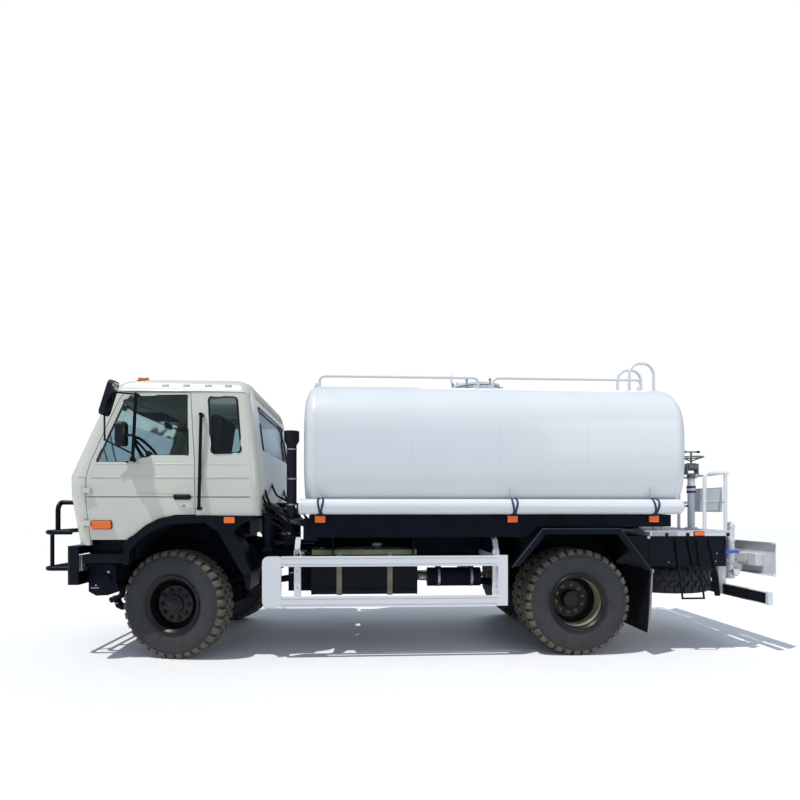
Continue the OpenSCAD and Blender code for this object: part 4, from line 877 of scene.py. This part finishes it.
put("intake_cap", group(*[lathe([(r, z), (r + 5, z + 4), (r, z + 8)], 40).moved(shift(-1075, 900, 0)) for r,
                          z in ((74, 2160), (74, 2180), (74, 2200), (74, 2220))]), SEAL)
put("intake_clamps", group(*[lathe([(50, z), (53, z + 2), (53, z + 14), (50, z + 16)],
                                   32) .moved(shift(-1075, 900, 0)) for z in (1500, 1760, 2060)]), STEEL,
    slot="black_plastic")
put("filter_bands", group(*[lathe([(130, z), (133, z + 2), (133, z + 20), (130, z + 22)],
                                  40) .moved(shift(-1000, 620, 0)) for z in (1200, 1460)]), STEEL,
    slot="black_plastic")
hoses = []
for k, (y, z, r) in enumerate(((1010, 1560, 12), (960, 1500, 9), (880, 1620, 14), (780, 1450, 10),
                               (-700, 1500, 12), (-860, 1580, 10), (1040, 1420, 8), (500, 1700, 11),
                               (-300, 1660, 12))):
    sag = 60 + 25 * (k % 3)
    hoses.append(tube(smooth_path([(-800, y, z + 40), (-860, y + 10, z - sag), (-960, y - 30, z - sag - 60),
                                   (-1050, y - 90, z - sag - 160), (-1090, y - 120, 1110 + 12 * k)], 6), r,
                      8))
put("cab_hoses", group(*hoses), SEAL)
put("cab_latch", both(box((-880, 700, 1100), (-830, 760, 1480)), box((-870, 640, 1440), (-800, 900, 1480)),
                      drum((-850, 1000, 1050), (-850, 1000, 1430), 34),
                      drum((-850, 1000, 1180), (-850, 1000, 1420), 52),
                      box((-905, 430, 1040), (-815, 1050, 1090))), CHASSIS, edge=3)
put("coolant_pipe", tube(smooth_path([(-790, 820, 1500), (-900, 830, 1480), (-1010, 850, 1370),
                                      (-1150, 800, 1330), (-1230, 650, 1290), (-1250, 420, 1220)], 6), 36,
                         14), GUN)

# ------------------------------------------------------------ tank


def tank_ring(x, lift, width, thick):
    """A band round the tank at x, following its section."""
    verts = []
    steps = 120
    for k in range(steps):
        a = math.tau * k / steps
        d = Vector((0, math.cos(a), math.sin(a)))
        start = Vector((x, 0, TANK_Z)) + d * 2500
        hit = TANK_TREE.ray_cast(start, -d)[0]
        r = (hit - Vector((x, 0, TANK_Z))).length if hit else 1100
        for dx, dr in ((-width / 2, lift - thick), (-width / 2, lift), (width / 2, lift),
                       (width / 2, lift - thick)):
            verts.append(Vector((x + dx, 0, 2045)) + d * (r + dr))
    faces = [(k * 4 + i, k * 4 + (i + 1) % 4, (k + 1) % steps * 4 + (i + 1) % 4, (k + 1) % steps * 4 + i)
             for k in range(steps) for i in range(4)]
    return Shape(verts, faces)


put("tank_seams", group(*[tank_ring(x, 1.6, 7, 4) for x in (-1345, -2265, -3140, -4015, -4935)]), WHITE,
    edge=1)

# Hose tube straps, lids and brackets
bands, brackets, ties = [], [], []
for x in (-1393, -3283, -4703):
    for dx in (-17, 17):
        ring = []
        for k in range(19):
            a = math.radians(-110 + 200 * k / 18)
            lean = 8 * math.sin(a * 2) * (1 if dx > 0 else -1)
            ring.append((x + dx + lean, TUBE_Y + 79 * math.cos(a), TUBE_Z + 79 * math.sin(a)))
        bands.append(tube(ring, 10, 10))
    brackets.append(box((x - 26, 1088, 1395), (x + 26, 1150, 1408)))
    ties.append(tube([(x, 1150, 1562), (x + 12, 1168, 1600), (x + 30, 1180, 1680)], 6, 8))
put("hose_tube_straps", both(*bands), BLUE)
put("hose_tube_brackets", both(*brackets), CHASSIS, edge=1)
put("hose_tube_ties", both(*ties), WHITE)
lid = lathe([(76.5, 0), (79, 2), (79, 26), (77, 30), (60, 33), (1, 34)], 48)
for tag, flip in SIDES:
    m = shift(-1190, TUBE_Y, TUBE_Z) @ rotate(math.pi / 2, "Y") @ shift(0, 0, -26)
    piece = group(lid.moved(m), drum((-1160, TUBE_Y, TUBE_Z), (-1148, TUBE_Y, TUBE_Z), 14))
    put("hose_tube_lid_" + tag, sided(flip, piece), WHITE)

# Skirt seams, bolts and the brackets it hangs from
skirt = [box((x, 1087.5, 1190), (x + 5, 1090, 1400)) for x in (-2010, -2630)]
skirt.append(box((-3470, 1087.5, 1186), (-1360, 1092, 1196)))
skirt += [drum((x, 1087, z), (x, 1093, z), 8, 12, 1) for x in range(-3380, -1360, 210) for z in (1300, 1390)]
put("skirt_trim", both(*skirt), CHASSIS)
apron = [prism([(x - 4, 1000), (x + 4, 1000), (x + 4, 1186), (x - 4, 1186)], 440, 1080)
         for x in (-1500, -2300, -3100)]
put("skirt_brackets", both(*apron), CHASSIS)
inner_skirt = box((-3250, 436, 1000), (-1300, 442, 1290))
put("frame_skirt", both(inner_skirt), CHASSIS)

# Top rail feet, walkway grips and the manhole's clamps
feet = []
for x in (-1320, -3060, -3220, -4900):
    z = top_z(x, 520)
    feet.append(prism(round_rect(x - 34, 490, x + 34, 550, 10), z - 4, z + 5, "z"))
    feet.append(prism([(x + 10, z), (x + 60, z), (x + 44, z + 52), (x + 22, z + 56)], 516, 524))
put("top_rail_feet", both(*feet), WHITE, edge=1)
walk = []
for k in range(16):
    x = -1450 - k * 105
    if abs(x - HATCH_X) > 360:
        walk.append(box((x - 10, -180, top_z(x, 0) - 3), (x + 10, 180, top_z(x, 0) + 3)))
for k in range(12):
    x = -3560 - k * 105
    walk.append(box((x - 10, -180, top_z(x, 0) - 3), (x + 10, 180, top_z(x, 0) + 3)))
put("tank_walkway", group(*walk), GREY, edge=2)
clamps = []
for k in range(5):
    a = math.radians(-112 + 56 * k)
    c, s = math.cos(a), math.sin(a)
    px, py = HATCH_X + 284 * c, 284 * s
    clamps += [drum((px, py, 2850), (px, py, 2975), 8, 12), drum((px, py, 2944), (px, py, 2962), 17, 6, 2),
               drum((px - 20 * s, py + 20 * c, 2856), (px + 20 * s, py - 20 * c, 2856), 9, 12)]
    clamps.append(box((px - 12, py - 12, 2846), (px + 12, py + 12, 2868)))
put("hatch_clamps", group(*clamps), STEEL)
lever = tube([(-2852, -8, 2900), (-2842, 0, 2960), (-2836, 4, 3020), (-2840, 8, 3062)], 9, 10)
put("hatch_lever", group(lever, drum((-2860, -26, 2894), (-2860, 26, 2894), 14)), WHITE)
put("hatch_seal", lathe([(262, 0), (272, 1), (276, 4), (272, 7), (262, 8)],
                        64).moved(shift(HATCH_X, 0, 2896)), SEAL)

# ------------------------------------------------------------ side guards, fuel tank, chassis

# Grey strips along the grooves of the white side guard rails: painted shade in the grooves
grooves, caps = [], []
for z in (513, 906):
    for dz in (22, 78):
        grooves.append(box((-3120, 1170.5, z + dz - 3), (-1016, 1172.8, z + dz + 3)))
    caps.append(box((-1016, 1171, z + 4), (-1008, 1174, z + 96)))
put("guard_groove_shade", both(*grooves), GREY)
put("guard_caps", both(*caps), WHITE, edge=1)
bolts = [drum((x, 1133, z), (x, 1138, z), 9, 12, 1) for x in GUARD_X for z in (560, 700, 860, 1035)]
put("guard_bolts", both(*bolts), STEEL)

wraps = []
for x in STRAP_X:
    outline = rounded([(446, 587), (958, 587), (958, 1058), (446, 1058)], 66, 6)
    n = len(outline)
    verts = [(x + dx, y, z) for dx in (-26, 26) for y, z in outline]
    wraps.append(Shape(verts, [(i, (i + 1) % n, n + (i + 1) % n, n + i) for i in range(n)]))
straps = put("fuel_tank_straps", group(*wraps), OLIVE)
thick = straps.modifiers.new("thick", "SOLIDIFY")
thick.thickness = 3 * MM
put("fuel_tank_buckles", group(*[box((x - 20, 955, 990), (x + 20, 972, 1030)) for x in STRAP_X],
                               *[drum((x, 960, 960), (x, 960, 1000), 7, 10) for x in STRAP_X]), STEEL,
    slot="body_black")
put("fuel_tank_top", box((-2343, 470, 1048), (-1281, 930, 1053)), OLIVE)
put("fuel_tank_face", box((-2341, 949, 1004), (-1283, 953.5, 1050)), OLIVE, edge=1)
put("fuel_tank_neck", drum((-1940, 860, 1046), (-1940, 860, 1090), 42, 32, 3), BLUE)
put("fuel_tank_cap", drum((-1940, 860, 1086), (-1940, 860, 1116), 54, 24, 8), OLIVE)
put("frame_boxes", both(box((-1262, 500, 610), (-1015, 720, 1000)), drum((-1140, 720, 700), (-1140, 740, 700),
                                                                         80),
                        box((-1240, 720, 860), (-1180, 735, 960))), CHASSIS, edge=5)
put("frame_box_marks", both(box((-1120, 719, 792), (-1030, 724, 806)),
                            box((-1232, 734, 880), (-1190, 738, 930))), GREY, slot="chassis_black")
put("skirt_front", both(box((-1366, 1080, 1186), (-1270, 1087, 1406)),
                        box((-1350, 760, 1150), (-1215, 1060, 1372)),
                        drum((-1235, 900, 1150), (-1235, 900, 1330), 44)), CHASSIS, edge=3)
arms = []
for x in GUARD_X:
    arms += [box((x - 26, 1128, 1000), (x + 26, 1136, 1080)),
             prism([(1136, 1078), (1128, 1078), (1076, 1150), (1040, 1180), (1040, 1188), (1082, 1157)],
                   x - 26, x + 26, "x")]
put("guard_arms", both(*arms), GREY, edge=1)
put("fuel_tank_ends",
    group(*[tube([(x, y, z) for y, z in rounded([(456, 597), (948, 597), (948, 1048), (456, 1048)], 58, 6)],
                 7, 8, closed=True) for x in (-1281, -2343)]), BLACK)
put("fuel_pipes",
    group(*[tube(smooth_path([(-1330 - 60 * k, 700, 1052), (-1330 - 60 * k, 720, 1085),
                              (-1400 - 90 * k, 640, 1092), (-1600, 520, 1100 + 12 * k)], 5), 7, 8)
            for k in range(3)]), SEAL, slot="body_black")

rail_bolts = [drum((x, 429, z), (x, 436, z), 11, 10, 2) for x in range(-5800, 800, 260) for z in (900, 1040)]
put("frame_bolts", both(*rail_bolts), CHASSIS)


def spring_trim(x0, half, eye, stack):
    """Leaf edges and U-bolts of a spring whose middle is over x0."""
    shapes = []
    for leaf in range(5):
        reach = half * (1 - 0.16 * leaf)
        pts = []
        for k in range(-8, 9):
            t = k / 8
            along = t * reach / half
            z = 605 + (eye - 605) * along * along
            pts.append((x0 + reach * t, 391, z + 12 + stack * leaf / 5 * (1 - abs(along))))
        shapes.append(tube(pts, 39.5, 8, flat=0.13, up=(0, 1, 0)))
    for dx in (-62, 62):
        shapes += [tube([(x0 + dx, y, 540), (x0 + dx, y, 720)], 9, 8) for y in (346, 436)]
        shapes.append(tube([(x0 + dx, 344, 722), (x0 + dx, 438, 722)], 9, 8))
    return shapes


put("spring_trim", both(*spring_trim(0, 610, 780, 60), *spring_trim(REAR_X, 590, 790, 90)), CHASSIS)
dampers = [drum((330, 470, 560), (420, 470, 1010), 30), drum((370, 470, 700), (425, 470, 1030), 38)]
put("dampers", both(*dampers), CHASSIS)
put("brake_drums", both(drum((REAR_X, 640, HUB_Z), (REAR_X, 700, HUB_Z), 190, 40, 6)), CHASSIS)
put("brake_chambers", both(drum((-3720, 560, 640), (-3600, 560, 660), 78),
                           drum((-3600, 560, 660), (-3560, 560, 667), 66)), CHASSIS)
upper = [(-1200, 446, 1000), (-1900, 452, 985), (-2600, 446, 1004), (-3300, 452, 985), (-3900, 446, 1000)]
lower = [(-1300, 456, 960), (-2100, 450, 940), (-2900, 456, 956), (-3600, 450, 930)]
wires = [tube(smooth_path(upper, 8), 8, 6), tube(smooth_path(lower, 8), 11, 6)]
put("frame_lines", both(*wires), SEAL, slot="chassis_black")
put("air_tank_bands", group(*[lathe([(110, -12), (113, -10), (113, 10), (110, 12)],
                                    40) .moved(shift(x, y, 840) @ rotate(math.pi / 2, "Y"))
                              for x in (-2800, -2200) for y in (-870, -610)]), STEEL, slot="chassis_black")
put("silencer_bands", group(*[lathe([(100, -14), (103, -12), (103, 12), (100, 14)],
                                    40) .moved(shift(x, 640, 740) @ rotate(math.pi / 2, "Y"))
                              for x in (-2950, -2600)],
                            tube(smooth_path([(-2480, 640, 740), (-2380, 640, 745), (-2250, 560, 770),
                                              (-1500, 420, 780), (-1200, 380, 800)], 6), 42, 12)), STEEL,
    slot="chassis_black")
put("battery_lid", group(box((-1806, -956, 996), (-1244, -444, 1010)),
                         box((-1700, -958, 800), (-1640, -950, 860)),
                         box((-1410, -958, 800), (-1350, -950, 860))), BLACK, edge=3)

# ------------------------------------------------------------ rear fenders and platform

edge_line = [(-3262, 896), (-3566, 1275), (-4346, 1275), (-4667, 858)]
for tag, flip in SIDES:
    # Bead along the fender's edge in a lighter black than the fender: painted highlight on the edge
    rim_line = tube([(x, 1199, z - 5) for x, z in edge_line], 5, 8)
    put("fender_bead_highlight_" + tag, sided(flip, rim_line), EDGE_HIGHLIGHT)
    fender_bolts = [drum((x, 1199, z), (x, 1204, z), 8, 12, 1) for x,
                    z in ((-3330, 940), (-3450, 1090), (-3700, 1247), (-3950, 1247), (-4200, 1247),
                          (-4470, 1060), (-4600, 900))]
    put("fender_bolts_" + tag, sided(flip, *fender_bolts), SEAL, slot="fender_black")
    flap = prism([(-4672, 870), (-4684, 865), (-4668, 470), (-4640, 228), (-4628, 230), (-4650, 470)], 640,
                 1193)
    put("mud_flap_" + tag, sided(flip, flap), FLAP, edge=2)
    strip = box((-4690, 630, 830), (-4676, 1196, 862))
    put("mud_flap_bar_" + tag, sided(flip, strip), STEEL, slot="fender_black", edge=1)
    panel_bolts = [drum((x, 1079, z), (x, 1084, z), 5, 10, 1) for x,
                   z in ((-4905, 925), (-5400, 930), (-5410, 1010))]
    panel_bolts += [drum((x, 1079, 1178), (x, 1100, 1178), 15, 16, 5) for x in (-4690, -5535)]
    put("panel_bolts_" + tag, sided(flip, *panel_bolts), WHITE, slot="fender_black")
    filler = prism([(-4712, 1190), (-4425, 1190), (-4668, 872), (-4712, 872)], 1062, 1076)
    put("panel_filler_" + tag, sided(flip, filler), BLACK, slot="fender_black")
    deck_edge = [box((-4985, 1099, 1192), (-4720, 1103, 1244)), box((-5530, 1099, 1238), (-4640, 1104, 1247))]
    put("deck_edge_grey_" + tag, sided(flip, deck_edge[0]), GREY, edge=1)
    put("deck_edge_lip_" + tag, sided(flip, deck_edge[1]), WHITE, edge=1)
    # Black blocks in the notches of the white deck edge: painted shade in the notches
    notch_shades = [box((x - 17, 1098, 1190), (x + 17, 1104.5, 1222)) for x in (-4872, -5092, -5515)]
    put("deck_notch_shade_" + tag, sided(flip, *notch_shades), SEAL, slot="tank_white")

    # Spray pipe fittings: collars, ball valve with its blue lever, hose coupling
    px, py = -5610, 1000
    collars = [lathe([(37, z), (44, z + 2), (44, z + 18), (37, z + 20)], 40).moved(shift(px, py, 0))
               for z in (750, 1000, 1130, 1275)]
    put("pipe_collars_" + tag, sided(flip, *collars), WHITE)
    dome = lathe([(37, 0), (36, 12), (28, 24), (14, 31), (0.5, 33)], 40).moved(shift(px, py, 1300))
    put("pipe_dome_" + tag, sided(flip, dome), WHITE)
    lever = tube([(px - 20, 1090, 1028), (px + 30, 1098, 1030), (px + 125, 1104, 1026)], 17, 12)
    put("pipe_valve_" + tag, sided(flip, lever), VALVE)
    put("pipe_valve_stem_" + tag, sided(flip, drum((px, 1034, 1029), (px, 1088, 1029), 13)), STEEL)
    coupling = group(drum((px, 1080, 820), (px, 1092, 820), 39, 32),
                     *[drum((px + 34 * math.cos(a), 1064, 820 + 34 * math.sin(a)),
                            (px + 34 * math.cos(a), 1100, 820 + 34 * math.sin(a)), 7, 10)
                       for a in (0.3, 2.4, 4.5)])
    put("pipe_coupling_" + tag, sided(flip, coupling), STEEL)

    # Rear lamp box with its cable
    shell = prism(round_rect(680, 868, 980, 1002, 14), -5982, -5900, "x")
    put("rear_lamp_box_" + tag, sided(flip, shell), WHITE, slot="amber_lens", edge=6)
    lens_red = prism(round_rect(690, 876, 830, 994, 12), -5902, -5894, "x")
    put("rear_lamp_back_" + tag, sided(flip, lens_red), WHITE, slot="amber_lens", edge=4)
    for k, color in enumerate((RED, AMBER, CLEAR)):
        lens = prism(round_rect(694 + 94 * k, 880, 778 + 94 * k, 990, 10), -5989, -5980, "x")
        put("rear_lens_%d_%s" % (k, tag), sided(flip, lens), color, slot="amber_lens", edge=3)
    cable = smooth_path([(-5900, 690, 925), (-5890, 660, 900), (-5860, 700, 850), (-5790, 850, 830),
                         (-5700, 1010, 800), (-5640, 1060, 850), (-5560, 1070, 930), (-5500, 1070, 950)], 8)
    put("lamp_cable_" + tag, sided(flip, tube(cable, 7, 8)), GREY, slot="black_plastic")
    put("beam_ends_" + tag, sided(flip, tube([(-5988, 1149, 1117), (-5947, 1149, 1117)], 11, 10),
                                  tube([(-5988, 1149, 790), (-5947, 1149, 790)], 11, 10)), WHITE)
    put("bar_end_" + tag, sided(flip, box((-5953, 1112, 486), (-5905, 1153, 619))), WHITE, edge=3)
    # Black sheet inside the white rear bumper bar's channel: painted shade in the channel's hollow
    channel_shade = box((-5945, 0, 500), (-5909, 1108, 606))
    put("bar_channel_shade_" + tag, sided(flip, channel_shade), CHASSIS)
    hanger = prism([(-5700, 860), (-5620, 860), (-5660, 700), (-5700, 500), (-5760, 500), (-5740, 700)], 600,
                   612)
    put("bar_hanger_" + tag, sided(flip, hanger), CHASSIS, edge=1)
    gate = tube([(-5522, 505, 1440), (-5522, 505, 1690), (-5522, 995, 1690), (-5522, 995, 1440)], 6, 8,
                closed=True)
    put("sign_frame_" + tag, sided(flip, gate), WHITE)
    put("sign_face_" + tag, sided(flip, box((-5517, 509, 1444), (-5511, 991, 1686))), GREY)

treads = []
for i in range(16):
    for j in range(34):
        x, y = -5520 + i * 52, -1070 + j * 64 + (32 if i % 2 else 0)
        if -5080 < x or abs(y) < 1080:
            turn = 45 if (i + j) % 2 else -45
            treads.append(box((-15, -4, 0), (15, 4, 2.4)).moved(shift(x, y, 1245.5)
                                                                @ rotate(math.radians(turn), "Z")))
put("deck_treads", group(*treads), GREY)

# Cannon: coupling, hand wheel, nozzle ring and gauge
cx, cy = -5400, 650
put("riser_coupling", group(*[lathe([(37, z), (46, z + 3), (46, z + 26), (37, z + 29)],
                                    40).moved(shift(cx, cy, 0)) for z in (1640, 1692)],
                            drum((cx, cy, 1655), (cx, cy, 1712), 40, 40)), BLUE, slot="tank_white")
put("riser_flange", group(disc_stack([(70, 0), (72, 2), (72, 12), (70, 14)], 40).moved(shift(cx, cy, 1246)),
                          *[drum((cx + 56 * math.cos(a), cy + 56 * math.sin(a), 1258),
                                 (cx + 56 * math.cos(a), cy + 56 * math.sin(a), 1270), 8, 6)
                            for a in [math.tau * k / 6 for k in range(6)]]), WHITE)
put("riser_valve", group(drum((cx + 37, cy, 1500), (cx + 62, cy, 1500), 12),
                         tube([(cx + 60, cy, 1500), (cx + 74, cy - 20, 1502), (cx + 78, cy - 120, 1506)], 11,
                              10, flat=0.5)), VALVE)
put("barrel_rings",
    group(*[lathe([(r, 0), (r + 5, 3), (r + 5, 15), (r, 18)], 32) .moved(shift(cx, cy - d, 1930)
                                                                         @ rotate(math.pi / 2, "X")) for r,
            d in ((33, 120), (33, 300), (32, 500), (22, 598))]), STEEL, "cannon_barrel")
put("barrel_gauge", group(drum((cx + 36, cy - 180, 1976), (cx + 36, cy - 200, 1976), 26, 28, 3),
                          drum((cx + 24, cy - 190, 1950), (cx + 34, cy - 190, 1966), 7, 10)), STEEL,
    "cannon_barrel")
knobs = [drum((cx + s * 62, cy, 2095), (cx + s * 96, cy, 2095), 13, 16, 4) for s in (-1, 1)]
put("barrel_grips", group(*knobs), SEAL, "cannon_barrel")
put("head_bolts", group(*[drum((cx + s * 66.5, cy, 1930), (cx + s * 76, cy, 1930), 26, 6, 3)
                          for s in (-1, 1)], *[drum((cx + 52 * math.cos(a), cy + 52 * math.sin(a), 1800.5),
                                                    (cx + 52 * math.cos(a), cy + 52 * math.sin(a), 1812), 6,
                                                    6) for a in (0.8, 2.4, 3.9, 5.5)]), STEEL, "cannon_head")
put("ladder_clips", group(*[box((-5090, y - 14, z), (-5060, y + 14, z + 24)) for y in (20, 320)
                            for z in (1500, 2000, 2400)]), WHITE, edge=2)

for tag, flip in SIDES:
    low_y, high_y = side_y(366, 1925) + 46, side_y(366, 2560) + 60
    post = group(tube([(366, low_y, 1925), (366, high_y, 2560)], 15, 12),
                 drum((366, low_y, 1915), (366, low_y, 1950), 26))
    put("mirror_post_" + tag, sided(flip, post), BLACK, "door_" + tag)


# ------------------------------------------------------------ floor, light and camera

floor_mesh = bpy.data.meshes.new("floor")
floor_mesh.from_pydata([(-40, -40, 0), (40, -40, 0), (40, 40, 0), (-40, 40, 0)], [], [(0, 1, 2, 3)])
floor = bpy.data.objects.new("floor", floor_mesh)
bpy.context.scene.collection.objects.link(floor)
floor_mesh.materials.append(material("floor", (0.68, 0.68, 0.68), rough=0.7, vary=0.01))

world = bpy.data.worlds.new("world")
bpy.context.scene.world = world
world.use_nodes = True
backdrop = world.node_tree.nodes["Background"]
backdrop.inputs["Color"].default_value = (1, 1, 1, 1)
sky = world.node_tree.nodes.new("ShaderNodeBackground")
sky.inputs["Color"].default_value = (0.47, 0.55, 0.68, 1)
seen = world.node_tree.nodes.new("ShaderNodeLightPath")
blend = world.node_tree.nodes.new("ShaderNodeMixShader")
world.node_tree.links.new(seen.outputs["Is Camera Ray"], blend.inputs["Fac"])
world.node_tree.links.new(sky.outputs["Background"], blend.inputs[1])
world.node_tree.links.new(backdrop.outputs["Background"], blend.inputs[2])
world.node_tree.links.new(blend.outputs["Shader"], world.node_tree.nodes["World Output"].inputs["Surface"])


def area(name, spot, target, size, power, color=(1, 1, 1)):
    data = bpy.data.lights.new(name, "AREA")
    data.shape = "RECTANGLE"
    data.size, data.size_y = size
    data.energy = power
    data.color = color
    lamp = bpy.data.objects.new(name, data)
    lamp.location = spot
    lamp.rotation_euler = (Vector(target) - Vector(spot)).to_track_quat("-Z", "Y").to_euler()
    bpy.context.scene.collection.objects.link(lamp)


sun_data = bpy.data.lights.new("sun", "SUN")
sun_data.energy = 3.6
sun_data.angle = math.radians(0.6)
sun_data.color = (1.0, 0.98, 0.94)
sun = bpy.data.objects.new("sun", sun_data)
sun.rotation_euler = Vector((-0.34, -0.20, -0.90)).to_track_quat("-Z", "Y").to_euler()
bpy.context.scene.collection.objects.link(sun)
area("side_light", (-6.0, 8.0, 4.5), (-0.5, 0, 1.3), (5, 4), 120)
area("back_light", (-4.0, -8.0, 6.0), (0, 0, 1.5), (6, 4), 150)
bpy.context.scene.view_settings.view_transform = "Standard"

camera_data = bpy.data.cameras.new("camera")
camera_data.lens = 24.57
camera_data.sensor_width = 36
camera_data.shift_y = 0.138
camera = bpy.data.objects.new("camera", camera_data)
camera.location = (0.4505, 6.487, 1.451)
camera.rotation_euler = (math.pi / 2, 0, math.radians(180 - 3.04))
bpy.context.scene.collection.objects.link(camera)
bpy.context.scene.camera = camera
